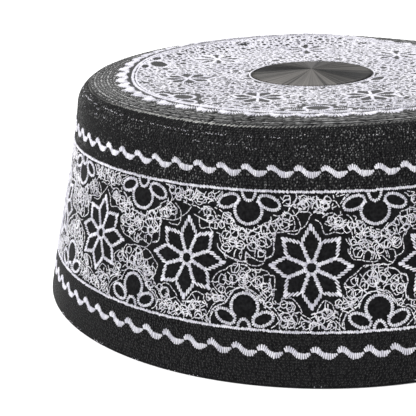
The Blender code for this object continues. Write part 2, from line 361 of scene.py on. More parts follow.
# %% Lines of stitches
# Holes of running stitch: strays along the line and gaps at each end in shares of a stitch, and wander
HOLE_STRAY, HOLE_GAP, HOLE_WANDER = 0.22, 0.11, 0.09


def smooth(corners):
    """A curve through a few corners: the cubic blend of each corner and its three neighbours."""
    padded = np.vstack([2 * corners[0] - corners[1], corners, 2 * corners[-1] - corners[-2]])
    t = np.linspace(0.0, 1.0, 6, endpoint=False)[None, :, None]
    a, b, c, d = (padded[i:len(padded) - 3 + i][:, None, :] for i in range(4))
    curve = 0.5 * (2 * b + (c - a) * t + (2 * a - 5 * b + 4 * c - d) * t ** 2
                   + (3 * b - 3 * c + d - a) * t ** 3)
    return np.vstack([curve.reshape(-1, 2), corners[-1:]])


def bent(path, widths, wander, rng):
    """The curve through a path's shaken corners, and the corners' widths spread along it."""
    curve = smooth(shaken(path, wander, rng))
    return curve, np.interp(np.linspace(0, 1, len(curve)), np.linspace(0, 1, len(path)), widths)


def measured(path):
    """The way walked along a path up to each of its points."""
    return np.concatenate([[0.0], np.cumsum(np.linalg.norm(np.diff(path, axis=0), axis=1))])


def along(path, way, at):
    """Points at given ways along a path, by interpolation."""
    return pair(np.interp(at, way, path[:, 0]), np.interp(at, way, path[:, 1]))


def satin(path, width, pitch, rng, slant, ragged, uneven=0.0, upright=0.0):
    """Starts and ends of satin stitches across a path.

    Each stitch is centred on the path and lies at a right angle to it, turned by the slant, with
    its left end ahead, and pulled towards the chart's y by the share upright. Its ends reach half
    the width, ragged at random, and the uneven share pushes every second stitch out or in.
    """
    way = measured(path)
    count = max(int(round(way[-1] / pitch)), 2)
    at = (np.arange(count) + 0.5) * way[-1] / count
    centre = along(path, way, at)
    ahead = unit(along(path, way, np.minimum(at + pitch, way[-1]))
                 - along(path, way, np.maximum(at - pitch, 0.0)))
    left = leftwards(ahead)
    across = unit(left * math.cos(slant) + ahead * math.sin(slant) + (0.0, upright))
    reach = np.interp(at, way, np.broadcast_to(width, len(way))) / 2.0
    reach = reach / np.maximum(np.abs((across * left).sum(axis=1)), 0.35)
    push = uneven * np.where(np.arange(count) % 2 == 0, 1.0, -1.0)
    out = reach * (1.0 + push + ragged * rng.standard_normal(count))
    back = reach * (1.0 - push + ragged * rng.standard_normal(count))
    return centre - across * back[:, None], centre + across * out[:, None]


def running(path, length, rng):
    """Starts and ends of running stitches laid end to end along a path, of nearly one length.

    The needle never hits the line quite true, so each hole wanders a little and the line kinks.
    """
    way = measured(path)
    count = max(int(round(way[-1] / length)), 1)
    marks = np.arange(count + 1) * way[-1] / count
    marks[1:-1] += rng.uniform(-HOLE_STRAY, HOLE_STRAY, count - 1) * way[-1] / count
    points = shaken(along(path, way, marks), HOLE_WANDER, rng)
    gap = HOLE_GAP * (points[1:] - points[:-1])
    return points[:-1] + gap, points[1:] - gap


# %% [markdown]
# ## Materials
# The white thread is polyester: bright, a little violet in the shade, with a soft gloss along the
# strand. The black cloth hardly reflects face on and turns grey at a grazing angle, and the black
# satin of the medallion is smoother than the cloth round it. Pictures of thread and cloth could be
# mapped on, but they blur close up. Noise, a sheen layer and the stitches' own tone give these
# looks at any distance. Helpers that add and link the nodes come first.


# %% Node helpers
def add(tree, kind, inputs=None, **settings):
    """One shader node. Plain values are set on its sockets, and sockets given are linked."""
    made = tree.nodes.new(kind)
    for key, value in settings.items():
        setattr(made, key, value)
    for key, value in (inputs or {}).items():
        if isinstance(value, bpy.types.NodeSocket):
            tree.links.new(value, made.inputs[key])
        else:
            made.inputs[key].default_value = value
    return made


def maths(tree, operation, *values):
    """The outcome of one operation on values or sockets."""
    return add(tree, "ShaderNodeMath", dict(enumerate(values)), operation=operation).outputs[0]


def noise(tree, spot, scale, detail):
    """Cloudy noise at a spot."""
    return add(tree, "ShaderNodeTexNoise", {"Vector": spot, "Scale": scale, "Detail": detail}).outputs["Fac"]


def stretched(tree, spot, scale):
    """A spot whose axes are scaled apart."""
    return add(tree, "ShaderNodeMapping", {"Vector": spot, "Scale": scale}).outputs["Vector"]


def object_spot(tree):
    """The place on the piece."""
    return add(tree, "ShaderNodeTexCoord").outputs["Object"]


def stitch_tone(tree):
    """The random tone of a piece's stitches."""
    return add(tree, "ShaderNodeAttribute", attribute_name="tone").outputs["Fac"]


def new_material(name, shade):
    """A material with a Principled shader whose constant values are set on its own sockets."""
    made = bpy.data.materials.new(name)
    made.use_nodes = True
    tree = made.node_tree
    shader = tree.nodes["Principled BSDF"]
    for key, value in shade.items():
        shader.inputs[key].default_value = value
    return made, tree, shader


def coloured(tree, shader, share, stops):
    """The base colour runs with a share through stops: a position and a grey or a colour each."""
    ramp = add(tree, "ShaderNodeValToRGB", {"Fac": share})
    if len(stops) > 2:
        ramp.color_ramp.elements.new(0.5)
    for element, (position, colour) in zip(ramp.color_ramp.elements, stops):
        element.position = position
        element.color = (*np.broadcast_to(colour, 3), 1.0)
    tree.links.new(ramp.outputs["Color"], shader.inputs["Base Color"])


def bumped(tree, shader, height, strength, distance):
    """The shader's normal follows a height."""
    bump = add(tree, "ShaderNodeBump", {"Strength": strength, "Distance": distance, "Height": height})
    tree.links.new(bump.outputs["Normal"], shader.inputs["Normal"])


# %% Thread, cloth and satin
def thread_material(name, slot, shade_colour, light_colour):
    """Thread whose tone goes from stitch to stitch and in blotches, with fine fibre in its bump."""
    made, tree, shader = new_material(name, {
        "Roughness": 0.48, "Specular IOR Level": 0.35, "Sheen Weight": 0.15, "Sheen Roughness": 0.5})
    spot = object_spot(tree)
    mixed = maths(tree, "ADD", stitch_tone(tree), noise(tree, spot, 60.0, 2.0))
    share = maths(tree, "MULTIPLY", mixed, 0.5)
    coloured(tree, shader, share, ((0.2, shade_colour), (0.75, light_colour)))
    bumped(tree, shader, noise(tree, spot, 9000.0, 1.0), 0.25, 0.00005)
    return Finish(made, slot)


def cloth_material(name, sheen):
    """Black cloth: a fine stretched weave in its bump, speckled by noise, grey at grazing angles."""
    made, tree, shader = new_material(name, {
        "Roughness": 0.8, "Specular IOR Level": 0.05, "Sheen Weight": sheen, "Sheen Roughness": 0.30,
        "Sheen Tint": (0.9, 0.9, 0.9, 1.0)})
    speckle = noise(tree, object_spot(tree), 1100.0, 3.0)
    coloured(tree, shader, speckle, ((0.35, (0.003, 0.003, 0.0035)), (0.75, (0.014, 0.014, 0.015))))
    flat = add(tree, "ShaderNodeUVMap", uv_map="cloth").outputs["UV"]
    weave = noise(tree, stretched(tree, flat, (900.0, 1500.0, 1.0)), 1.0, 2.0)
    bumped(tree, shader, weave, 0.6, 0.0003)
    return Finish(made, "black_cloth")


def quilting_material(name, sheen, stops):
    """Quilting thread: its tone goes from stitch to stitch and in broad patches, through the stops."""
    made, tree, shader = new_material(name, {
        "Roughness": 0.6, "Specular IOR Level": 0.08, "Sheen Weight": sheen, "Sheen Roughness": 0.28})
    patch = noise(tree, stretched(tree, object_spot(tree), (1.0, 1.0, 4.0)), 60.0, 2.0)
    worn = maths(tree, "MULTIPLY_ADD", patch, 1.9, 0.05)
    coloured(tree, shader, maths(tree, "MULTIPLY", stitch_tone(tree), worn), stops)
    return Finish(made, "black_cloth")


def satin_material():
    """Black satin: stitched from the middle outwards, its tone goes from ray to ray and carries painted
    reflection.
    """
    made, tree, shader = new_material("black_satin", {"Roughness": 0.42, "Specular IOR Level": 0.22})
    coloured(tree, shader, stitch_tone(tree), ((0.0, 0.006), (1.0, (0.175, 0.165, 0.155))))
    return Finish(made, "black_satin")


WHITE_THREAD = thread_material("white_thread", "white_thread", (0.55, 0.54, 0.62), (0.92, 0.91, 0.96))
FINE_THREAD = thread_material("fine_thread", "white_thread", (0.52, 0.51, 0.58), (0.98, 0.97, 1.00))
# Grey thread of the seam: its light end is painted highlight along the seam's bend
GREY_THREAD = thread_material("grey_thread", "black_cloth", 0.02, (0.62, 0.62, 0.60))
BLACK_CLOTH = cloth_material("black_cloth", 0.22)
CROWN_CLOTH = cloth_material("crown_cloth", 0.8)
BLACK_THREAD = quilting_material("black_thread", 0.18, ((0.0, 0.005), (0.68, 0.018), (1.0, 0.190)))
# Black quilting thread of the crown's edge: its grey base colour is painted sheen for the grazing light, on
# top of the shader's own sheen
PAINTED_SHEEN_THREAD = quilting_material("painted_sheen_thread", 0.9, ((0.0, 0.015), (0.45, 0.150), (1.0, 0.400)))
BLACK_SATIN = satin_material()
print("materials", [m.name for m in bpy.data.materials])

# %% [markdown]
# ## The cloth shells
# The stiff cloth is a thin wall, folded in at the hem, with the crown set into its top. Two sheets
# with a Solidify modifier could make it. Here each part is one closed shell, drawn as a single
# profile, which keeps the hem and the seam exact. The side goes up its outer face from the hem to
# the crown seam, then down its inner face, and the crown closes on the axis. A grid of turns and
# profile points makes both. Their map is the turn times the chart's radius, and the walk, in metres.

# %% Turned shells
TURN_STEPS = 240
SEAM_GAP = 0.00001         # half the gap between the two shells
LACE_START = 0.0665        # radius where the lace covers the crown's cloth
ROW_STEP = 0.00112         # from one row of quilting on the crown's edge to the next
ROW_GROOVE = 0.00022


def turned_faces(steps, count, closed=False):
    """Quads of a grid of turns and profile points, and the fans that close its two ends.

    The fans meet in two poles that come after the grid's points. A profile that is closed on itself
    has none.
    """
    step, place = np.meshgrid(np.arange(steps), np.arange(count if closed else count - 1), indexing="ij")
    here, ahead, after = step * count, (step + 1) % steps * count, (place + 1) % count
    quads = np.stack([here + place, ahead + place, ahead + after, here + after], axis=-1).reshape(-1, 4)
    here, ahead = here[:, 0], ahead[:, 0]
    pole = np.full(steps, steps * count)
    fans = np.vstack([np.stack([pole, ahead, here], axis=-1),
                      np.stack([pole + 1, here + count - 1, ahead + count - 1], axis=-1)])
    return quads, fans[:0] if closed else fans


def cloth_shell(name, radius, height, walk, finish, node, poles=()):
    """A profile turned about the axis, closed on itself or by poles at two heights, with its map."""
    count = len(radius)
    turn = -math.pi + np.arange(TURN_STEPS) * TAU / TURN_STEPS
    points = around(turn[:, None], radius, height).reshape(-1, 3)
    points = np.vstack([points, around(0.0, 0.0, np.array(poles))])
    quads, fans = turned_faces(TURN_STEPS, count, closed=not poles)
    across = turn[quads[:, :1] // count] + np.array([0, 1, 1, 0]) * TAU / TURN_STEPS
    uv = pair(across * CHART_RADIUS, walk[quads % count]).reshape(-1, 2)
    mesh_piece(name, points, fans, quads, finish, node, uv=np.vstack([np.zeros((fans.size, 2)), uv]))


def side_wall():
    """The side's closed shell: outer face up, inner face down, joined by the hem's two quarter arcs."""
    seam = SEAM_WALK - SEAM_GAP
    up = np.concatenate([np.linspace(HEM_ROUNDING, SIDE_WALK, 56), np.linspace(SIDE_WALK, seam, 12)[1:]])
    down = np.concatenate([np.linspace(seam, SIDE_WALK, 8), np.linspace(SIDE_WALK, HEM_ROUNDING, 24)[1:]])
    outer_r, outer_z = profile(up)
    inner_r, inner_z = profile(down, WALL)
    bend = np.radians([270.0, 292.5, 315.0, 337.5])
    out, rise = HEM_ROUNDING * np.cos(bend), HEM_ROUNDING + HEM_ROUNDING * np.sin(bend)
    radius = np.concatenate([RIM_RADIUS - HEM_ROUNDING + out, outer_r, inner_r,
                             RIM_RADIUS - WALL + HEM_ROUNDING - out[::-1]])
    height = np.concatenate([rise, outer_z, np.maximum(inner_z, HEM_ROUNDING), rise[::-1]])
    walk = np.concatenate([rise, up, up[-1] + WALL + up[-1] - down, np.full(4, 2 * up[-1])])
    cloth_shell("side_wall", radius, height, walk, BLACK_CLOTH, "side_band")


def crown_cloth():
    """The crown's closed shell: under side outwards, the seam edge, then the top inwards.

    Between the seam and the lace the top sinks into grooves, one for each row of quilting: the
    depth is half of one minus the cosine of the walk from the seam, once round for each row.
    """
    seam, lace = SEAM_WALK + SEAM_GAP, walk_at_radius(LACE_START)
    rim = np.concatenate([np.arange(seam, lace, ROW_STEP / 8.0), np.linspace(lace, WALK[-1], 50)[:-1]])
    groove = 0.5 * (1.0 - np.cos((rim - seam) / ROW_STEP * TAU)) * ROW_GROOVE
    top_r, top_z = profile(rim, np.where(rim < lace, groove, 0.0))
    under = np.concatenate([np.linspace(WALK[-1], lace, 18)[1:], np.linspace(lace, seam, 8)[1:]])
    low_r, low_z = profile(under, WALL)
    cloth_shell("crown_cloth", np.concatenate([low_r, top_r]), np.concatenate([low_z, top_z]),
                np.concatenate([2 * WALK[-1] - under, rim]), CROWN_CLOTH, "crown_top",
                poles=(crown_height(0.0) - WALL, crown_height(0.0)))


side_wall()
crown_cloth()

# %% [markdown]
# ## Quilting in black thread
# The cloth is sewn through in close rows with black thread. On the side the stitches lie slanted,
# so the bare bands look speckled, and on the crown's edge they follow the rows round. A bump
# texture could hint at them, but these rows stand against the light along the cap's outline. So
# each stitch is a form of its own, with only six triangles because there are so many.

# %% Quilting
LOWER_BORDER_Z, UPPER_BORDER_Z = 0.0160, 0.0544
SIDE_ROW_STEP = 0.00082
# Each row's walk up the cloth: clear of the hem, the borders and the seam, and in under the lace
LOWER_WALKS = np.arange(0.0014, walk_at_height(LOWER_BORDER_Z) - 0.0007, SIDE_ROW_STEP)
UPPER_WALKS = np.arange(walk_at_height(UPPER_BORDER_Z) + 0.0010, SEAM_WALK - 0.0008, SIDE_ROW_STEP)
CROWN_WALKS = np.arange(SEAM_WALK + 0.5 * ROW_STEP, walk_at_radius(0.0650), ROW_STEP)
TICK = math.radians(84.0)          # slant of the side's stitches
Rows = namedtuple("Rows", "spacing stitch slant width height floor stray_along stray_across shares")
LOWER_ROWS = Rows(0.72, 0.80, TICK, 0.40, 0.05, 0.0, 0.30, 0.13, (0.25, 0.20))
UPPER_ROWS = Rows(0.72, 0.80, TICK, 0.36, 0.10, 0.0, 0.30, 0.13, (1.15, 1.01, 1.09, 0.91))
CROWN_ROWS = Rows(2.4, 3.9, 0.0, 0.80, 0.16, 0.35, 0.25, 0.05, (0.3, 1.0, 0.45, 0.9, 0.5, 1.2, 0.4, 0.7))


def row_places(walk, spacing):
    """A row's radius, and the count and step in mm of evenly spaced places round it."""
    radius = float(profile(walk)[0])
    count = int(TAU * radius / MM / spacing)
    return radius, count, TAU * radius / MM / count


def quilting(name, walks, rows, finish, rng):
    """Short stitches in rows round the cap: one each spacing, centred on the row, at a slant.

    The random tones start at the floor, and the shares scale them, row by row and again from the
    start. Stitches stray along the row in spacings, and across it in mm.
    """
    blocks = []
    for number, walk in enumerate(walks):
        radius, count, step = row_places(walk, rows.spacing)
        x = np.arange(count) + rng.uniform(0.0, 1.0) + rows.stray_along * rng.standard_normal(count)
        y = walk / MM + rows.stray_across * rng.standard_normal(count)
        tilt = rows.slant + 0.3 * math.sin(rows.slant) * rng.standard_normal(count)
        reach = rows.stitch / 2.0 * (1.0 + 0.2 * rng.standard_normal(count))
        middle, half = pair(x * step, y), polar(tilt, reach)
        points, tone = stitches(middle - half, middle + half, rows.width, rows.height, row_chart(radius),
                                rng, SHORT_STITCH)
        share = rows.shares[number % len(rows.shares)]
        blocks.append((points, (rows.floor + (1.0 - rows.floor) * tone) * share))
    stitched_piece(name, blocks, finish, SHORT_STITCH)


quilting_rng = np.random.default_rng(11)
quilting("quilting_lower", LOWER_WALKS, LOWER_ROWS, BLACK_THREAD, quilting_rng)
quilting("quilting_upper", UPPER_WALKS, UPPER_ROWS, BLACK_THREAD, quilting_rng)
# The crown's rows use the thread whose grey base colour is painted sheen
quilting("quilting_crown", CROWN_WALKS, CROWN_ROWS, PAINTED_SHEEN_THREAD, quilting_rng)

# %% [markdown]
# ## Seam and painted glints
# A piped seam joins side and crown, and its slanting stitches are painted grey in places, as painted
# highlight along the seam's bend. A few bright dots, painted glints of the quilting thread, run in rows
# below the seam and along the hem. Both could be masks in the cloth's material, but stitches keep
# their edges sharp and stand proud of the cloth like their neighbours.

# %% Seam and painted glint dots
SEAM_PITCH, SEAM_SLANT = 1.20, math.radians(58.0)
HIGH_ROWS = 30.0      # rows above this walk in mm climb towards the seam at the cap's sides
# Rows of painted glint dots: walk, spacing, and the chance that a run of four places is used
DOT_ROWS = ((SEAM_WALK / MM - 4.1, 0.66, 0.62), (SEAM_WALK / MM - 2.9, 0.90, 0.10),
            (SEAM_WALK / MM - 5.3, 0.90, 0.08), (SEAM_WALK / MM - 7.0, 0.72, 0.26),
            (SEAM_WALK / MM - 8.1, 0.90, 0.12), (SEAM_WALK / MM - 10.4, 0.90, 0.06),
            (0.75, 0.90, 0.18), (2.4, 1.10, 0.03))


def seam_cord():
    """The piped seam between side and crown: slanting stitches over the edge.

    The line wanders down and up by a cosine of seven times the turn. The painted highlight is the power
    2.5 of a raised cosine of three times the turn: the stitches are widest and greyest where it is 1.
    """
    rng = np.random.default_rng(12)
    radius = float(profile(SEAM_WALK)[0])
    turn = np.linspace(0.0, TAU, 400)
    sway = -0.25 - 0.35 * np.cos(7.0 * (turn + math.radians(14.0)))
    line = pair(turn * radius / MM, SEAM_WALK / MM + sway + 0.08 * rng.standard_normal(400))
    # Painted highlight along the seam's bend: where it is strong, the stitches are wider and lighter grey
    seam_highlight = (0.5 + 0.5 * np.cos(3.0 * (turn + math.radians(24.0)))) ** 2.5
    start, end = satin(line, 0.45 + 0.40 * seam_highlight, SEAM_PITCH, rng, SEAM_SLANT, 0.2)
    seam_highlight = np.interp(start[:, 0] * MM / radius, turn, seam_highlight)
    points, tone = stitches(start, end, 0.26 + 0.24 * seam_highlight, 0.26, row_chart(radius), rng)
    # The painted highlight lightens the grey thread's tone
    tone = (0.35 + 0.65 * tone) * np.repeat(0.05 + 0.95 * seam_highlight, len(LONG_STITCH.points))
    stitched_piece("seam_stitches", [(points, tone)], GREY_THREAD)


def painted_glint_dots():
    """Short bright stitches in broken rows, painted glints. The high rows sway with the squared sine of the
    turn.
    """
    rng = np.random.default_rng(13)
    blocks = []
    for walk, spacing, chance in DOT_ROWS:
        radius, count, step = row_places(walk * MM, spacing)
        x = (np.arange(count) + 0.2 * rng.standard_normal(count)) * step
        turn = x * MM / radius
        y = walk + 0.25 * np.sin(5.0 * turn) + 0.14 * rng.standard_normal(count)
        if walk > HIGH_ROWS:
            y = y + 1.2 * np.sin(turn - math.radians(15.0)) ** 2
        used = np.repeat(rng.uniform(0.0, 1.0, count // 4 + 1) < chance, 4)[:count]
        kept = used & (rng.uniform(0.0, 1.0, count) < 0.65)
        middle = pair(x, y)[kept]
        count = len(middle)
        half = pair(rng.uniform(0.11, 0.26, count), rng.uniform(-0.1, 0.1, count))
        blocks.append(stitches(middle - half, middle + half, rng.uniform(0.24, 0.38, count), 0.24,
                               row_chart(radius), rng, SHORT_STITCH))
    # White thread for the dots: painted glints of the black quilting
    stitched_piece("painted_glint_dots", blocks, WHITE_THREAD, SHORT_STITCH)


seam_cord()
painted_glint_dots()

# %% [markdown]
# ## Stars
# Eight kite-shaped petals round a small ring. One star could be modelled and copied round, but
# hands and cloth are never quite true. So a function sews every star afresh, and its corners wander
# by a fraction of a millimetre. The outline runs from each notch out to a tip and back, and a spoke
# joins each notch to the ring. The satin lies strongly slanted, with the outer ends towards the
# tips, which gives the saw-toothed edge.

# %% Stars
REPEATS = 15
STAR_Z = 0.0338
Star = namedtuple("Star", "tips notch hub outline spoke ring")     # reaches, then widths, in mm
SIDE_STAR = Star((11.3, 10.8), 7.5, 1.8, 1.10, 1.15, 1.05)
STAR_PITCH, STAR_THREAD, STAR_SLANT, SPOKE_SLANT = 1.02, 0.46, math.radians(60.0), math.radians(30.0)
TIP_IN, TIP_OUT = 1.3, 0.75        # how far a tip's own stitch reaches inwards and outwards
TIP_WANDER, NOTCH_WANDER = 0.22, 0.16
THREAD_PITCH, THREAD_WIDTH, THREAD_HEIGHT = 0.58, 0.50, 0.34


def ring(radius_x, radius_y, x=0.0, y=0.0, start=0.0, end=360.0, tilt=0.0, steps=40):
    """Points on an ellipse, or part of one, in degrees from +x anticlockwise, tilted and moved."""
    angle = np.radians(np.linspace(start, end, steps))
    return turned(pair(radius_x * np.cos(angle), radius_y * np.sin(angle)), math.radians(tilt)) + (x, y)


def satin_block(path, width, place, rng, slant=0.0, pitch=THREAD_PITCH, ragged=0.12, uneven=0.10,
                upright=0.0, thread=THREAD_WIDTH, height=THREAD_HEIGHT):
    """Satin along a path, laid on a chart."""
    start, end = satin(path, width, pitch, rng, slant, ragged, uneven, upright)
    return stitches(start, end, thread, height, place, rng)


def star_blocks(place, rng, star, height=THREAD_HEIGHT):
    """All the satin of one star: petal sides from notch to tip, spokes, tips and the ring."""
    angle = np.arange(8) * TAU / 8.0
    between = angle + TAU / 16.0
    tip = shaken(clockwise(angle, np.tile(star.tips, 4)), TIP_WANDER, rng)
    dip = shaken(clockwise(between, star.notch), NOTCH_WANDER, rng)
    blocks = []
    for shift, slant in ((1, STAR_SLANT), (0, -STAR_SLANT)):
        for path in np.stack([np.roll(dip, shift, axis=0), tip], axis=1):
            blocks.append(satin_block(path, star.outline, place, rng, slant, STAR_PITCH, 0.06, 0.08,
                                      thread=STAR_THREAD, height=height))
    for path in np.stack([dip, clockwise(between, star.hub)], axis=1):
        blocks.append(satin_block(path, star.spoke, place, rng, SPOKE_SLANT, height=height))
    blocks.append(stitches(tip - TIP_IN * unit(tip), tip + TIP_OUT * unit(tip), THREAD_WIDTH, height,
                           place, rng))
    blocks.append(satin_block(ring(star.hub, star.hub), star.ring, place, rng, height=height))
    return blocks


for number in range(REPEATS):
    place = side_chart(number * TAU / REPEATS, STAR_Z)
    blocks = star_blocks(place, np.random.default_rng(100 + number), SIDE_STAR)
    stitched_piece(f"star_stitches_{number + 1:02d}", blocks, WHITE_THREAD, node=f"star_{number + 1:02d}")

# %% [markdown]
# ## Borders and flowers
# A corded line runs round the side above and below the stars. From each hang or grow fifteen
# flowers: a half ring on the line, a large round petal over it and a slanting oval on either side.
# Bezier circles could be set for them one by one. Ellipses from a few numbers are easier to fit to
# the photo, and the crown's flowers come from the same function.

# %% Borders and flowers
BORDER_LINE, FLOWER_LINE = 0.75, 0.95
BORDER_SLANT = math.radians(40.0)
BORDER_WANDER, FLOWER_WANDER = 0.05, 0.03      # in mm, and in shares of a flower's sizes
# A flower's ellipses in mm. The half ring on the line: half width, half height. The large petal: the
# same and its distance from the border. The ovals: the same, with x before it and the tilt after it.
Flower = namedtuple("Flower", "half large oval")
UPPER_FLOWER = Flower((2.1, 2.9), (4.05, 3.65, 5.6), (3.25, 1.75, 6.1, 3.2, 19.0))
LOWER_FLOWER = Flower((1.75, 2.75), (3.70, 3.60, 6.2), (3.05, 1.80, 5.3, 3.1, 25.0))
# Each border's flowers, side away from it (-1 hangs down, 1 stands up), height and seed
BORDERS = {"upper": (UPPER_FLOWER, -1.0, UPPER_BORDER_Z, 21),
           "lower": (LOWER_FLOWER, 1.0, LOWER_BORDER_Z, 22)}


def flower_blocks(place, away, flower, rng, line=FLOWER_LINE, gap=38.0, height=THREAD_HEIGHT):
    """One flower's satin. The gap is half the opening of the large petal at its foot, in degrees."""
    big_x, big_y, big_at = flower.large
    oval_x, oval_y, oval_at, oval_off, oval_tilt = flower.oval
    wander = 1.0 + FLOWER_WANDER * rng.standard_normal(4)
    start = -90.0 * away + gap
    paths = [ring(flower.half[0] * wander[0], flower.half[1], end=away * 180.0),
             ring(big_x * wander[1], big_y * wander[2], 0.0, away * big_at, start, start + 360.0 - 2.0 * gap)]
    for side in (-1.0, 1.0):
        paths.append(ring(oval_x * wander[3], oval_y, side * oval_at, away * oval_off,
                          tilt=side * away * oval_tilt))
    widths = (line, line * 1.05, line, line)
    return [satin_block(path, width, place, rng, height=height) for path, width in zip(paths, widths)]


for name, (flower, away, height, seed) in BORDERS.items():
    rng = np.random.default_rng(seed)
    line = pair(np.linspace(0.0, CHART_ROUND, 400), BORDER_WANDER * rng.standard_normal(400))
    blocks = [satin_block(line, BORDER_LINE, side_chart(0.0, height), rng, BORDER_SLANT, ragged=0.2)]
    for number in range(REPEATS):
        blocks += flower_blocks(side_chart((number + 0.5) * TAU / REPEATS, height), away, flower, rng)
    stitched_piece(f"{name}_border_stitches", blocks, WHITE_THREAD, node=f"{name}_border_and_flowers")

# %% [markdown]
# ## Wave trims
# Rickrack in thick satin. Each wave starts with a blunt hook, goes over its crest, falls steeply,
# swings through a broad trough and rises in a thinning tail to the next hook. A sine line could
# stand in for it, but it is the same on both flanks. So one wave is a smooth curve through a few
# stations with a width at each, and it is sewn again and again round the cap.

# %% Wave trims
# One wave, all in mm but the first column: share of the period, height, width
WAVE_STATIONS = np.array([
    (-0.150, 0.22, 0.9), (-0.100, 0.72, 1.7), (-0.010, 0.98, 2.0), (0.085, 0.80, 1.9),
    (0.180, 0.22, 1.6), (0.270, -0.42, 1.6), (0.360, -0.86, 1.95), (0.490, -1.04, 2.1),
    (0.620, -0.92, 1.9), (0.730, -0.62, 1.25), (0.820, -0.25, 0.5),
])
WAVE_PITCH, WAVE_WANDER = 0.56, 0.07
# Height, waves round the cap, the first wave's turn in degrees, and seed
WAVES = {"upper": (0.0601, 70, 2.66, 31), "lower": (0.0104, 78, 0.62, 32)}

for name, (height, waves, degrees, seed) in WAVES.items():
    rng = np.random.default_rng(seed)
    path = WAVE_STATIONS[:, :2] * (CHART_ROUND / waves, 1.0)
    blocks = []
    for number in range(waves):
        curve, width = bent(path, WAVE_STATIONS[:, 2], WAVE_WANDER, rng)
        place = side_chart(math.radians(degrees) + number * TAU / waves, height)
        blocks.append(satin_block(curve, width, place, rng, pitch=WAVE_PITCH, ragged=0.05, uneven=0.03,
                                  upright=1.0))
    stitched_piece(f"{name}_wave_stitches", blocks, WHITE_THREAD, node=f"{name}_wave_trim")
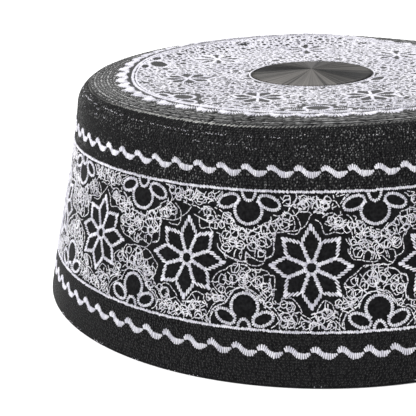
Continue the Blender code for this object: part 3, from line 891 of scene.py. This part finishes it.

# %% [markdown]
# ## Filigree between the motifs
# Thin running stitch fills the ground: a dashed line echoes each star, little roses sit in the
# gaps, a bouquet hangs under each upper flower and lines arch over each lower one. Random curls
# alone could fill it, but the drawn shapes would be lost. So the strokes below were charted
# for one repeat, and a few tangles thicken them. They are pairs of x and y in tenths of a
# millimetre from the star's middle, parted by slashes. Every repeat bends them in its own slow
# waves.

# %% Filigree chart
STROKES = """
3 148 -8 129 -18 114 -30 107 -50 102 -75 97 -97 95 -118 85 / -98 94 -101 80 -103 65 -101 52 -98 42 -105
31 -116 23 -129 20 / -73 92 -60 90 -42 86 -32 100 -30 110 -30 125 -38 137 -54 151 / -109 138 -96 143 -82
146 -68 145 -56 139 -51 128 -50 116 -49 103 / -109 138 -111 129 -110 118 -105 108 -97 100 / -94 120 -93
105 -82 102 -70 115 -68 127 -78 133 -90 126 -100 126 -108 118 / -80 158 -77 147 -82 134 / -68 152 -59
164 -50 173 -42 186 -40 198 / -69 134 -62 136 / -68 125 -52 127 / -68 116 -52 119 / -110 130 -118 124
-128 118 -140 116 -152 105 / -153 104 -142 115 -130 117 -124 108 -126 93 -120 80 -110 69 -109 59 -120 48
-130 52 -140 56 / -183 96 -166 96 -155 90 -148 80 -142 69 -130 56 / -180 85 -170 93 -158 100 -146 109 /
-186 80 -182 69 -178 58 -173 49 -160 44 -153 52 -147 62 -150 73 -162 78 -174 81 -182 79 / -186 51 -179
54 -169 62 -156 67 -149 69 / -123 80 -134 86 -146 92 -156 86 / -139 99 -132 88 -129 76 -127 64 -125 55 /
-140 70 -132 61 -123 54 / -138 115 -134 104 -128 113 -125 102 -116 114 -120 124 -112 113 -113 129 / -151
42 -140 45 -132 42 -130 30 -129 20 -136 12 -148 14 -158 19 -166 21 -173 30 -180 32 / -186 22 -184 12
-178 22 -170 20 / -158 43 -159 32 -157 20 / -153 41 -151 30 -149 18 / -186 5 -180 6 -165 2 -150 3 -140 6
-134 12 / -92 197 -84 189 -81 184 -70 185 -60 189 -70 193 -81 197 / -77 177 -69 172 -62 170 -74 170 /
-73 169 -60 178 / -52 176 -41 183 -39 192 -32 183 -23 180 -16 185 -9 189 -20 189 / -36 198 -28 190 -20
184 / -49 174 -42 165 -36 158 -48 160 -52 169 -40 171 -27 168 -20 167 / -38 176 -28 171 -19 175 -15 166
-14 159 -26 158 -34 160 / -31 154 -22 151 -12 152 -3 148 / -3 199 -4 189 -3 176 -3 164 / 7 199 1 190 0
180 / 13 197 22 187 26 178 24 166 23 158 / 12 183 11 169 19 160 30 156 40 162 50 160 51 171 42 178 34
184 24 177 34 170 43 172 / 39 183 43 191 50 198 / 44 189 42 176 / 51 178 60 178 68 179 74 170 82 165 /
62 198 65 190 66 183 / 72 202 65 192 / 70 190 83 193 98 198 / 80 172 87 181 96 189 108 196 / 58 160 62
170 66 176 / 60 162 70 165 / 9 149 20 152 30 148 39 143 46 144 / 2 147 16 158 6 162 / 10 134 19 126 28
121 30 112 31 101 37 91 46 87 56 90 66 96 74 94 83 92 92 95 / 30 132 39 143 50 149 62 150 69 142 79 136
83 126 77 116 68 112 50 112 43 120 34 120 / 44 129 53 125 60 129 56 136 49 139 60 140 70 134 70 123 63
120 52 121 / 90 114 80 111 72 103 65 102 62 109 / 89 128 88 116 98 115 106 117 / 75 145 84 144 90 146 /
84 158 84 150 / 96 144 106 140 114 132 118 123 113 114 110 105 / 92 129 100 127 / 106 129 105 119 104
109 / 116 135 128 136 130 129 123 124 134 125 144 121 149 110 149 105 / 122 116 130 112 / 134 120 140
115 / 106 109 113 100 119 90 116 80 119 72 111 65 / 101 80 100 69 106 60 112 52 122 44 134 48 143 47 155
50 170 47 178 53 184 56 / 109 78 108 67 114 56 / 99 51 95 46 102 38 110 28 120 21 132 21 146 18 158 14
170 10 185 12 / 111 53 109 44 111 36 120 31 / 129 31 136 40 142 48 / 145 22 146 34 150 44 / 163 16 163
28 168 42 / 179 13 179 26 179 36 / 180 35 187 28 192 20 / 183 42 188 52 / 124 100 132 92 143 90 152 93
160 96 170 103 180 97 184 88 182 79 185 70 184 60 / 134 106 146 106 156 105 172 102 / 146 98 147 89 142
80 132 78 126 86 120 78 / 130 64 136 72 146 76 154 73 159 66 168 64 / 116 58 128 60 138 60 146 53 153 60
164 59 172 54 / 142 64 150 68 148 58 / 162 75 170 81 163 90 173 86 182 80 176 72 170 64 / 170 94 177 98
/ -166 -11 -152 -6 -138 -7 -128 -14 -121 -23 -112 -28 -102 -29 -98 -40 -98 -52 -103 -66 -106 -78 -105
-90 -102 -98 / -123 -25 -136 -30 -146 -38 -150 -52 -149 -66 -142 -77 -129 -86 -116 -81 -107 -71 / -115
-33 -119 -44 -111 -54 -108 -66 -110 -80 / -140 -65 -131 -56 -121 -54 -113 -62 -124 -60 -130 -68 -124 -76
/ -114 -72 -125 -69 -135 -74 -138 -66 / -148 -53 -136 -50 -124 -50 -129 -43 -138 -45 / -164 -12 -174 -18
-185 -23 -192 -34 -191 -46 -183 -58 -175 -66 -166 -56 -158 -46 -152 -40 / -176 -20 -180 -36 / -172 -22
-162 -31 -167 -46 -178 -52 / -179 -42 -170 -49 -160 -48 / -159 -15 -155 -26 -152 -36 / -190 -3 -184 -3
-174 -5 -165 -10 / -188 -61 -176 -67 -162 -74 -150 -84 -140 -96 -135 -106 / -186 -70 -172 -73 -158 -80
-146 -92 -138 -103 / -134 -92 -128 -102 -120 -98 -114 -94 -110 -84 / -139 -93 -130 -92 -131 -107 / -116
-106 -106 -103 -102 -94 -93 -102 / -102 -88 -94 -100 -92 -104 -81 -105 -72 -105 -66 -95 -57 -94 -51 -103
-49 -113 -53 -122 -64 -124 -77 -122 -88 -121 -81 -109 / -80 -104 -80 -90 -70 -87 -58 -83 -52 -89 -42 -93
-34 -102 -28 -112 -25 -122 / -64 -106 -58 -98 -53 -110 -60 -116 -69 -112 -62 -119 -46 -115 / -109 -113
-100 -113 -94 -118 -86 -128 -80 -139 -70 -150 -58 -157 / -81 -142 -86 -152 -96 -163 -107 -171 / -73 -138
-62 -133 -49 -129 -37 -131 -39 -140 -41 -152 -46 -164 -49 -170 / -59 -137 -64 -148 -68 -156 -75 -165 /
-59 -134 -46 -142 -40 -150 -52 -156 -64 -160 -70 -172 / -46 -124 -36 -120 -26 -124 -17 -129 -8 -136 0
-142 / -29 -133 -33 -146 -36 -156 / -28 -134 -19 -144 -10 -149 2 -152 / -44 -168 -32 -163 -20 -157 -13
-150 / -22 -172 -17 -160 -13 -168 / -60 -170 -56 -159 / 142 -3 130 -11 123 -22 112 -25 102 -29 92 -38 84
-50 89 -63 94 -74 102 -79 112 -83 122 -90 / 88 -74 87 -86 86 -94 / 91 -76 99 -86 108 -89 / 95 -68 99 -60
108 -57 116 -63 119 -74 113 -83 104 -79 / 126 -24 124 -36 125 -48 132 -56 142 -56 148 -50 149 -38 142
-30 132 -25 / 130 -32 126 -39 / 149 -36 147 -52 148 -66 / 130 -70 139 -61 149 -68 161 -73 / 158 -42 159
-30 163 -20 172 -12 180 -6 / 162 -6 172 -14 179 -24 182 -36 177 -48 176 -58 179 -68 / 168 -34 174 -26 /
152 -53 162 -49 172 -46 184 -46 / 160 -44 169 -48 176 -56 185 -52 / 126 -86 136 -79 148 -74 160 -68 172
-66 184 -70 / 166 -59 172 -65 / 144 -2 154 -1 164 3 176 2 186 -1 / 90 -104 102 -100 113 -97 122 -96 126
-88 / 90 -96 102 -92 112 -93 / 76 -116 86 -109 98 -105 114 -105 / 62 -98 72 -100 84 -96 96 -99 106 -102
118 -98 116 -88 108 -94 / 12 -119 18 -106 26 -94 36 -88 48 -93 59 -98 62 -108 66 -118 72 -126 76 -130 /
44 -100 44 -112 43 -122 / 0 -129 12 -122 26 -116 40 -116 54 -115 64 -119 74 -124 / 13 -126 26 -121 34
-128 39 -138 32 -144 24 -138 26 -130 / 12 -128 11 -138 15 -146 26 -150 30 -162 31 -170 / 36 -152 50 -143
68 -134 / 40 -142 52 -134 66 -124 / 42 -132 56 -123 / 46 -149 60 -142 72 -136 73 -146 / 49 -153 62 -162
76 -170 / 50 -152 40 -166 30 -173 / 66 -148 76 -155 84 -166 90 -174 / 70 -152 66 -164 46 -170 / 0 -139 8
-132 / 86 -172 84 -158 87 -142 96 -128 112 -118 129 -112 134 -96 144 -80 160 -69 183 -65 / 76 -170 74
-154 78 -137 88 -120 104 -109 120 -102 / -86 -172 -84 -158 -87 -142 -96 -128 -112 -118 -129 -112 -134
-96 -144 -80 -160 -69 -183 -65 / 2 -152 7 -164 3 -170 / 16 -148 24 -156 30 -166 / 71 -98 66 -108 70 -114
80 -108 74 -102
"""
strokes = [np.array(stroke.split(), dtype=float).reshape(-1, 2) / 10.0 for stroke in STROKES.split("/")]
print(len(strokes), "strokes")

# %% Side filigree
FINE_STITCH, FINE_WIDTH, FINE_HEIGHT = 1.25, 0.27, 0.17
SECOND_PASS = 0.16         # share of the strokes that the machine sews twice
STROKE_WANDER, SLOW_REACH, SLOW_LENGTH = 0.17, 0.22, 9.0
BARE_MARGIN = 1.35         # left free round the motifs
TANGLE_WANDER = 0.25
TANGLE_LOOPS = (0.95, 1.50)        # least and largest radius
GOLDEN = math.pi * (3.0 - math.sqrt(5.0))
# Tangles: x, y, half width, half height in mm, and how many loops and short wandering threads
TANGLES = np.array([
    (-15.2, 7.6, 4.2, 4.2, 7, 6), (-8.0, 12.2, 2.2, 1.9, 3, 2), (-10.6, 9.6, 1.4, 1.4, 1, 1),
    (9.0, 10.6, 1.8, 1.4, 2, 2), (12.2, 11.8, 1.6, 1.6, 2, 2), (14.8, 7.4, 4.2, 4.0, 7, 6),
    (6.3, 13.0, 1.9, 1.5, 2, 2), (-0.5, 17.8, 7.8, 1.7, 8, 9), (-13.2, -6.0, 2.2, 2.6, 3, 3),
    (-17.2, -2.8, 2.4, 2.6, 3, 2), (-12.0, -11.0, 1.8, 1.0, 2, 1), (-7.0, -10.6, 1.6, 1.2, 2, 1),
    (10.0, -10.0, 2.6, 0.9, 3, 2), (3.5, -13.0, 2.2, 1.0, 2, 3), (-6.5, -14.3, 2.0, 1.4, 2, 2),
    (0.0, -15.5, 6.5, 1.2, 5, 6), (15.8, -3.8, 2.6, 2.8, 3, 2), (11.8, -6.0, 2.0, 2.4, 2, 2),
])


def scribble(rng, start, steps, length, curl):
    """Wandering running stitch: each step turns the heading by a curl that drifts at random."""
    curl = rng.choice([-1.0, 1.0], len(start)) * rng.uniform(*curl, len(start))
    heading = rng.uniform(0.0, TAU, len(start))[:, None]
    heading = heading + np.cumsum(curl[:, None] + 0.55 * rng.standard_normal((len(start), steps)), axis=1)
    step = polar(heading, length)
    path = start[:, None] + np.concatenate([np.zeros((len(start), 1, 2)), np.cumsum(step, axis=1)], axis=1)
    return path[:, :-1].reshape(-1, 2), path[:, 1:].reshape(-1, 2)


def loops(middle, radius, corners, rng):
    """Small closed loops of running stitch: uneven polygons of so many corners round their middles."""
    angle = rng.uniform(0.0, TAU, (len(middle), 1)) + np.arange(corners) * TAU / corners
    far = radius[:, None] * (1.0 + 0.14 * rng.standard_normal(angle.shape))
    corner = middle[:, None] + polar(angle, far)
    return corner.reshape(-1, 2), np.roll(corner, -1, axis=1).reshape(-1, 2)


def inside(points, middle, half, tilt=0.0):
    """True where points lie in an ellipse: turned level and over its halves, their length is under 1."""
    return ((turned(points - middle, -math.radians(tilt)) / half) ** 2).sum(axis=1) < 1.0


def flower_bounds(flower, away, x, y, margin):
    """Ellipses round a flower's large petal and ovals, wider by a margin: middle, halves, tilt."""
    big_x, big_y, big_at = flower.large
    oval_x, oval_y, oval_at, oval_off, tilt = flower.oval
    bounds = [((x, y + away * big_at), (big_x + margin, big_y + margin), 0.0)]
    for side in (-1.0, 1.0):
        bounds.append(((x + side * oval_at, y + away * oval_off), (oval_x + margin, oval_y + margin),
                       side * away * tilt))
    return bounds


def on_side_motif(points):
    """True where points lie on the star or a flower of a repeat, or in the bare margin round them.

    The star's edge is the straight line from a tip to a notch, which in polar form is tip times
    notch times the sine of their angle, over tip sin(a) + notch sin(their angle - a).
    """
    step, tip, notch = TAU / 16.0, SIDE_STAR.tips[0], SIDE_STAR.notch
    angle = np.arctan2(points[:, 0], points[:, 1]) % (2.0 * step)
    angle = np.minimum(angle, 2.0 * step - angle)
    edge = tip * notch * math.sin(step) / (tip * np.sin(angle) + notch * np.sin(step - angle))
    hit = np.hypot(points[:, 0], points[:, 1]) < edge + BARE_MARGIN
    for x in (-0.5 * CHART_ROUND / REPEATS, 0.5 * CHART_ROUND / REPEATS):
        for flower, away, height, _ in BORDERS.values():
            for bound in flower_bounds(flower, away, x, (height - STAR_Z) / MM, BARE_MARGIN):
                hit |= inside(points, *bound)
    return hit


def tangles(rng):
    """Loops and short threads, spread evenly in the tangles' ellipses and kept off the motifs.

    Number i of n lies at the root of (i + a half) / n of the way out, a golden-angle turn on from
    the one before, and is then shaken a little.
    """
    spots = []
    for count in TANGLES[:, 4:].T.astype(int):
        number = np.concatenate([np.arange(n) for n in count])
        far = np.sqrt((number + 0.5) / np.repeat(count, count))
        angle = number * GOLDEN + np.repeat(rng.uniform(0.0, TAU, len(count)), count)
        middle, half = np.repeat(TANGLES[:, :4], count, axis=0).reshape(-1, 2, 2).swapaxes(0, 1)
        spots.append(shaken(middle + half * polar(angle, far), TANGLE_WANDER, rng))
    first, last = loops(spots[0], rng.uniform(*TANGLE_LOOPS, len(spots[0])), 6, rng)
    start, end = scribble(rng, spots[1], 3, FINE_STITCH, (0.3, 1.0))
    start, end = np.vstack([start, first]), np.vstack([end, last])
    top, bottom = (UPPER_BORDER_Z - STAR_Z) / MM - 0.5, (LOWER_BORDER_Z - STAR_Z) / MM + 0.5
    kept = (np.maximum(start[:, 1], end[:, 1]) < top) & (np.minimum(start[:, 1], end[:, 1]) > bottom)
    kept &= ~on_side_motif(0.5 * (start + end))
    return start[kept], end[kept]


def slow_waves(rng, reach, length):
    """A smooth random shift of the plane: a sum of three long sine waves for x and for y."""
    wave = rng.standard_normal((2, 3, 2)) * TAU / length / 1.4
    phase = rng.uniform(0.0, TAU, (2, 3))
    size = reach * rng.uniform(0.4, 1.0, (2, 3))

    def shift(points):
        swing = np.einsum("pk,cwk->pcw", points, wave) + phase
        return points + (np.sin(swing) * size).sum(axis=2)
    return shift


def side_filigree():
    """The strokes and tangles of every repeat, in a front and a back half."""
    halves = {"front": [], "back": []}
    for number in range(REPEATS):
        rng = np.random.default_rng(400 + number)
        shift = slow_waves(rng, SLOW_REACH, SLOW_LENGTH)
        lines = []
        for stroke in strokes:
            for _ in range(2 if rng.uniform() < SECOND_PASS else 1):
                lines.append(running(shift(shaken(stroke, STROKE_WANDER, rng)), FINE_STITCH, rng))
        lines.append(tangles(rng))
        start, end = (np.vstack(arrays) for arrays in zip(*lines))
        block = stitches(start, end, FINE_WIDTH, FINE_HEIGHT, side_chart(number * TAU / REPEATS, STAR_Z), rng,
                         BAR_STITCH)
        front = number <= REPEATS // 4 or number >= REPEATS - REPEATS // 4
        halves["front" if front else "back"].append(block)
    for half, blocks in halves.items():
        stitched_piece(f"side_filigree_{half}", blocks, FINE_THREAD, BAR_STITCH)


side_filigree()

# %% [markdown]
# ## The crown's lace
# Seven stars and seven outer flowers stand in a ring of dense lace, with seven small flowers round
# the medallion. A double line closes the lace, and fifty-two satin pods make its scalloped edge.
# A painted texture could do for a view from above. Seen from the front the crown is far
# foreshortened, and only raised stitches keep the rhythm of its openings. The stars and flowers
# come from the side's functions, with sizes of their own.

# %% Crown motifs
CROWN_REPEATS = 7
CROWN_TURN = math.radians(2.3)
STAR_REACH, FLOWER_REACH, BUD_REACH = 43.0, 61.4, 29.7    # from the axis, in mm
RING_LINES = ((0.0617, 0.65), (0.0629, 1.00))   # distance from the axis, width in mm
MEDALLION_LINE = 0.02175
POD_REACH, PODS = 66.0, 52
CROWN_HEIGHT = 0.19        # of the motifs' stitches
CROWN_GAP = 4.0            # half the opening of its petals, in degrees
BLOOM_LINE, BUD_LINE, EYELET_LINE, MEDALLION_EDGE = 1.2, 0.9, 0.65, 0.55
RING_SLANT, POD_PITCH, POD_THREAD, POD_WANDER = math.radians(30.0), 0.70, 0.60, 0.05
EDGE_SHIFT = 0.00045
CROWN_STAR = Star((9.7, 9.7), 6.6, 0.7, 1.2, 1.05, 1.0)
CROWN_FLOWER = Flower((2.0, 1.6), (4.15, 3.25, 5.4), (3.10, 1.75, 6.3, 2.4, 10.0))
CROWN_BUD = Flower((1.1, 1.1), (2.10, 1.65, 2.8), (1.90, 1.00, 3.7, 1.2, 12.0))
# How far each of the seven outer flowers and stars has slipped round from its even place, in degrees
FLOWER_SLIP = (-0.1, 0.0, -0.6, 0.8, 0.0, -0.5, 3.4)
STAR_SLIP = (-2.0, 0.6, 0.0, -0.5, 0.0, -2.5, 0.9)
# Eyelets: degrees from the flower, distance from the axis and radius of the ring, in mm
EYELETS = ((9.0, 49.6, 1.7), (13.5, 51.5, 1.4), (19.0, 57.0, 1.7), (25.7, 56.2, 1.5), (12.0, 31.5, 1.5),
           (9.5, 40.0, 1.4), (22.5, 30.5, 1.5), (5.5, 34.0, 1.3))
# Two wide holes beside the medallion: degrees round, distance from the axis, half width, half depth
WIDE_HOLES = ((63.3, 25.3, 4.3, 2.1), (48.6, 24.7, 3.0, 1.5))
# The pod's path across: x, distance from the axis, width, all in mm
POD_STATIONS = np.array([(-3.7, 64.3, 1.1), (-2.9, 65.8, 2.8), (-1.3, 67.0, 4.1), (0.6, 66.9, 3.9),
                         (2.3, 65.8, 2.5), (3.9, 64.4, 1.0)])


def edge_shift(turn):
    """The lace's edge isn't quite centred: its reach changes with the sine and cosine of the turn."""
    return EDGE_SHIFT * (np.sin(turn) + np.cos(turn) - 1.0)


def crown_turns(number):
    """The turns of a repeat, of its outer flower and of its star."""
    turn = CROWN_TURN + number * TAU / CROWN_REPEATS
    return (turn, turn + math.radians(FLOWER_SLIP[number]),
            turn + 0.5 * TAU / CROWN_REPEATS + math.radians(STAR_SLIP[number]))


def ring_line(reach, width, shift, rng, steps=300, height=THREAD_HEIGHT):
    """A slanted satin line round the crown, shifted with the lace's edge or not."""
    turn = np.linspace(0.0, TAU, steps)
    line = pair(turn * reach / MM, walk_at_radius(reach + shift * edge_shift(turn)) / MM)
    return satin_block(line, width, row_chart(reach), rng, RING_SLANT, height=height)


def crown_motifs():
    """All the crown's satin: flowers, buds, eyelets and stars, wide holes, ring lines and pods."""
    rng = np.random.default_rng(51)
    blocks = []
    for number in range(CROWN_REPEATS):
        turn, slipped, star_turn = crown_turns(number)
        for place, flower, line in ((crown_chart(slipped, FLOWER_REACH * MM), CROWN_FLOWER, BLOOM_LINE),
                                    (crown_chart(turn, BUD_REACH * MM), CROWN_BUD, BUD_LINE)):
            blocks += flower_blocks(place, 1.0, flower, rng, line, CROWN_GAP, CROWN_HEIGHT)
        for degrees, reach, radius in EYELETS:
            for side in (-1.0, 1.0):
                place = crown_chart(turn + side * math.radians(degrees), reach * MM)
                loop = ring(radius * rng.uniform(0.85, 1.1), radius * rng.uniform(0.75, 1.0), steps=20)
                blocks.append(satin_block(loop, EYELET_LINE, place, rng, height=CROWN_HEIGHT))
        blocks += star_blocks(crown_chart(star_turn, STAR_REACH * MM), rng, CROWN_STAR, CROWN_HEIGHT)
    for degrees, reach, half_x, half_y in WIDE_HOLES:
        place = crown_chart(math.radians(degrees), reach * MM)
        blocks.append(satin_block(ring(half_x, half_y), EYELET_LINE, place, rng, height=CROWN_HEIGHT))
    for reach, width in RING_LINES:
        blocks.append(ring_line(reach, width, 1.0, rng))
    points, tone = ring_line(MEDALLION_LINE, MEDALLION_EDGE, 0.0, rng, 200, 0.22)
    blocks.append((points + (MEDALLION_SHIFT, 0.0, 0.0), tone))
    path = POD_STATIONS[:, :2] * (1.0, -1.0) + (0.0, POD_REACH)
    for turn in np.arange(PODS) * TAU / PODS:
        curve, width = bent(path, POD_STATIONS[:, 2], POD_WANDER, rng)
        place = crown_chart(turn, POD_REACH * MM + edge_shift(turn))
        blocks.append(satin_block(curve, width, place, rng, pitch=POD_PITCH, ragged=0.11, thread=POD_THREAD))
    stitched_piece("crown_lace_stitches", blocks, WHITE_THREAD, node="crown_lace")


crown_motifs()

# %% [markdown]
# ## The crown's filigree
# The ground of the lace is sewn in tiny loops, so close that the cloth hardly shows. They could be
# charted like the side's, but here the eye can't follow a thread, only the openings between them.
# So loops and wandering threads are spread evenly, and what would cross an opening is left out.

# %% Crown filigree
FILIGREE_INNER, FILIGREE_OUTER = 21.9, 61.6    # its bounds round the medallion and inside the lines
LOOPS, LOOP_RING, LOOP_SIZES = 1250, (22.4, 61.2, 0.45), (0.95, 1.40)    # ring: from, to, wander
THREADS, THREAD_RING, THREAD_STITCH = 1500, (22.6, 61.0, 0.6), 1.2
FRONT_WIDTH, WIDER_BEHIND, CROWN_THREAD_HEIGHT = 0.46, 0.37, 0.12
SLIT_REACH, SLIT_HALF = 5.9, (4.6, 2.2)        # the stars' openings: from their middle, and half sizes
# Bare margins round the flowers and their openings in front, and how much less they are behind
BUD_BARE, BLOOM_BARE, SLIT_LESS = (0.8, 0.8), (2.2, 4.5), 1.5


def crown_openings(points):
    """True where points on the flat crown, in mm, lie under a motif or in its narrow bare margin.

    Behind, where the cap is seen at its flattest, the threads run further into the openings.
    """
    bare = np.zeros(len(points), dtype=bool)
    for degrees, reach, half_x, half_y in WIDE_HOLES:
        bare |= inside(points, clockwise(math.radians(degrees), reach, -1.0), (half_x, half_y), degrees)
    for number in range(CROWN_REPEATS):
        turns = crown_turns(number)
        behind = [float(eased(-math.cos(turn), -0.3, 0.6)) for turn in turns]
        buds = flower_bounds(CROWN_BUD, 1.0, 0.0, -BUD_REACH, BUD_BARE[0] - BUD_BARE[1] * behind[0])
        for degrees, reach, radius in EYELETS:
            half = (radius + 0.2 - behind[0], radius + 0.1 - behind[0])
            for side in (-1.0, 1.0):
                buds.append((clockwise(math.radians(side * degrees), reach, -1.0), half, 0.0))
        margin = BLOOM_BARE[0] - BLOOM_BARE[1] * behind[1]
        blooms = flower_bounds(CROWN_FLOWER, 1.0, 0.0, -FLOWER_REACH, margin)
        half = (SLIT_HALF[0], SLIT_HALF[1] - SLIT_LESS * behind[2])
        slits = [(clockwise(angle, SLIT_REACH) - (0.0, STAR_REACH), half, 90.0 - math.degrees(angle))
                 for angle in np.arange(8) * TAU / 8.0]
        for turn, ellipses in zip(turns, (buds, blooms, slits)):
            local = turned(points, -turn)
            for ellipse in ellipses:
                bare |= inside(local, *ellipse)
    return bare


def spiral(count, low, high, wander, rng):
    """Places spread evenly over a ring of the crown, on a spiral of golden-angle turns, then shaken."""
    number = np.arange(count)
    reach = np.sqrt(low ** 2 + (number + 0.5) / count * (high ** 2 - low ** 2))
    return shaken(clockwise(number * GOLDEN, reach, -1.0), wander, rng)


def crown_filigree():
    """Little loops side by side, sewn twice, and threads that wander between them but not across.

    The threads lie broader behind, where only the tops of the stitches can be seen.
    """
    rng = np.random.default_rng(61)
    middle = spiral(LOOPS, *LOOP_RING, rng)
    radius = rng.uniform(*LOOP_SIZES, LOOPS)
    lines = [loops(middle, radius, 7, rng) for _ in range(2)]
    start, end = scribble(rng, spiral(THREADS, *THREAD_RING, rng), 5, THREAD_STITCH, (0.2, 0.8))
    away = (0.5 * (start + end)).astype(np.float32)[:, None] - middle.astype(np.float32)
    clear = (np.hypot(away[..., 0], away[..., 1]) > radius.astype(np.float32) - 0.35).all(axis=1)
    lines.append((start[clear], end[clear]))
    first, last = (np.vstack(arrays) for arrays in zip(*lines))
    keep = np.ones(len(first), dtype=bool)
    for share in (0.1, 0.5, 0.9):
        spot = first + share * (last - first)
        keep &= np.hypot(spot[:, 0] - MEDALLION_SHIFT / MM, spot[:, 1]) > FILIGREE_INNER
        keep &= (np.hypot(spot[:, 0], spot[:, 1]) < FILIGREE_OUTER) & ~crown_openings(spot)
    first, last = first[keep], last[keep]
    width = FRONT_WIDTH + WIDER_BEHIND * eased(first[:, 1] / 61.0, -0.9, 0.25)
    block = stitches(first, last, width, CROWN_THREAD_HEIGHT, crown_chart(0.0, 0.0), rng, BAR_STITCH)
    stitched_piece("crown_filigree", [block], WHITE_THREAD, BAR_STITCH)


crown_filigree()

# %% [markdown]
# ## The medallion
# The plain disc in the middle is black satin stitched from the centre to the rim. Its gloss could
# come from an anisotropic shader, but that is lost when the material is baked. So the rays are real
# ridges here, and the bright and dark sectors of the satin's gloss are painted reflection in their tone.

# %% Medallion
RAYS = 200
RAY_RISE, RAY_FULL = 0.26, 12.0    # a ray's ridge, and how far out it is full, in mm
# Painted reflection, dark sectors of the satin's gloss: degrees round, half width in degrees, depth
PAINTED_REFLECTION_WEDGES = ((-112.0, 30.0, 0.75), (64.0, 26.0, 0.72), (-20.0, 7.0, 0.15))


def medallion():
    """A low cone whose height ripples with the turn: one ridge for each ray, fading at the middle.

    The mound falls with the power 1.2 of the way out. The tone is painted reflection: a cosine of the
    turn, less a bell curve for each dark sector. And every fifth ray or so is darker.
    """
    rng = np.random.default_rng(71)
    steps = RAYS * 4
    turn = np.arange(steps) * TAU / steps
    edge = MEDALLION_RADIUS / MM
    rings = np.concatenate([[edge], np.linspace(edge - 0.4, 1.5, 16), [0.35]])
    ripple = np.tile([0.0, 0.7, 1.0, 0.7], RAYS) * np.repeat(rng.uniform(0.5, 1.0, RAYS), 4)
    mound = MEDALLION_MOUND / MM * (1.0 - rings / edge) ** 1.2
    top = 0.30 + RAY_RISE * ripple[:, None] * np.clip(rings / RAY_FULL, 0.05, 1.0) + mound
    top[:, 0] = -0.1
    points = on_cap(turn[:, None], walk_at_radius(rings * MM), top * MM).reshape(-1, 3)
    poles = on_cap(0.0, WALK[-1], np.array([-0.1, 0.40 + mound[-1]]) * MM)
    # Painted reflection: the satin's gloss, bright in front and dark in two sectors, is set by the turn
    tone = 0.54 + 0.20 * np.cos(turn + math.radians(20.0))
    for degrees, width, depth in PAINTED_REFLECTION_WEDGES:
        gap = (turn - math.radians(degrees) + math.pi) % TAU - math.pi
        tone = tone - depth * np.exp(-(gap / math.radians(width)) ** 2)
    dark_ray = np.where(rng.uniform(0.0, 1.0, RAYS) < 0.20, 0.25, 1.0)
    tone = np.clip(tone + 0.10 * np.repeat(rng.standard_normal(RAYS), 4), 0.0, 1.0) * np.repeat(dark_ray, 4)
    quads, fans = turned_faces(steps, len(rings))
    mesh_piece("medallion_satin", np.vstack([points, poles]) + (MEDALLION_SHIFT, 0.0, 0.0), fans, quads,
               BLACK_SATIN, "crown_medallion", np.concatenate([np.repeat(tone, len(rings)), [0.6, 0.6]]))


medallion()

# %% [markdown]
# ## Floor and light
# The cap stands on a plain pale floor in a bright, even studio. A picture of a studio could light
# it, but its reflections can't be set one by one. So two large soft lights and a white surround
# keep the white thread just below full white, and the floor goes to white around it.


# %% Floor and light
def stage_floor(half):
    """A pale square on the ground, reaching half its side each way."""
    made = new_material("studio_floor", {
        "Base Color": (0.92, 0.92, 0.92, 1.0), "Roughness": 0.9, "Specular IOR Level": 0.0,
        "Emission Color": (1.0, 1.0, 1.0, 1.0), "Emission Strength": 0.45})[0]
    mesh = bpy.data.meshes.new("studio_floor")
    corners = [(-half, -half, 0.0), (half, -half, 0.0), (half, half, 0.0), (-half, half, 0.0)]
    mesh.from_pydata(corners, [], [(0, 1, 2, 3)])
    mesh.materials.append(made)
    scene_object("studio_floor", mesh)


def surround(colour, strength):
    """An even glow from all round."""
    world = bpy.data.worlds.new("studio")
    world.use_nodes = True
    shade = world.node_tree.nodes["Background"]
    shade.inputs["Color"].default_value = colour
    shade.inputs["Strength"].default_value = strength
    bpy.context.scene.world = world


def soft_light(name, place, target, size, power):
    """A square area light at a place, turned to face a target."""
    data = bpy.data.lights.new(name, "AREA")
    data.shape = "SQUARE"
    data.size = size
    data.energy = power
    lamp = scene_object(name, data)
    lamp.location = place
    lamp.rotation_euler = (Vector(target) - Vector(place)).to_track_quat("-Z", "Y").to_euler()


stage_floor(6.0)
surround((1.0, 1.0, 1.0, 1.0), 0.56)
soft_light("key_light", (-0.7, -0.9, 1.1), (0.0, 0.0, 0.04), 0.7, 14.0)
soft_light("top_light", (0.1, 0.4, 1.3), (0.0, 0.0, 0.05), 0.9, 9.4)

# %% [markdown]
# ## Camera
# The photo was taken from a little above the cap's crown. A camera could be moved by hand until
# both pictures look alike. Here its place, pitch, yaw, roll and lens were fitted to the cap's
# outlines and borders, because each motif has to fall where the photo has it.

# %% Camera
CAMERA_PLACE = (0.0, -0.3389, 0.1328)
CAMERA_PITCH, CAMERA_ROLL, CAMERA_YAW = (math.radians(v) for v in (17.902, 1.896, -6.326))
CAMERA_TURN = math.radians(-0.30)    # the whole view is turned a little about the cap's axis
CAMERA_LENS = 83.60                  # mm on a 36 mm wide frame


def photo_camera():
    """The camera's axes: forward from yaw and pitch, right level, both turned by the roll."""
    forward = np.array([math.sin(CAMERA_YAW) * math.cos(CAMERA_PITCH),
                        math.cos(CAMERA_YAW) * math.cos(CAMERA_PITCH), -math.sin(CAMERA_PITCH)])
    right = np.array([math.cos(CAMERA_YAW), -math.sin(CAMERA_YAW), 0.0])
    down = np.cross(forward, right)
    c, s = math.cos(CAMERA_ROLL), math.sin(CAMERA_ROLL)
    axes = np.stack([c * right + s * down, s * right - c * down, -forward], axis=1)
    data = bpy.data.cameras.new("photo_camera")
    data.lens = CAMERA_LENS
    data.sensor_width = 36.0
    data.clip_start = 0.01
    data.clip_end = 50.0
    camera = scene_object("photo_camera", data)
    camera.matrix_world = (Matrix.Rotation(CAMERA_TURN, 4, "Z") @ Matrix.Translation(CAMERA_PLACE)
                           @ Matrix(axes.tolist()).to_4x4())
    bpy.context.scene.camera = camera


photo_camera()
bpy.context.scene.view_settings.view_transform = "Standard"
bpy.context.scene.view_settings.look = "None"
print("camera at", [round(v, 4) for v in bpy.context.scene.camera.location])
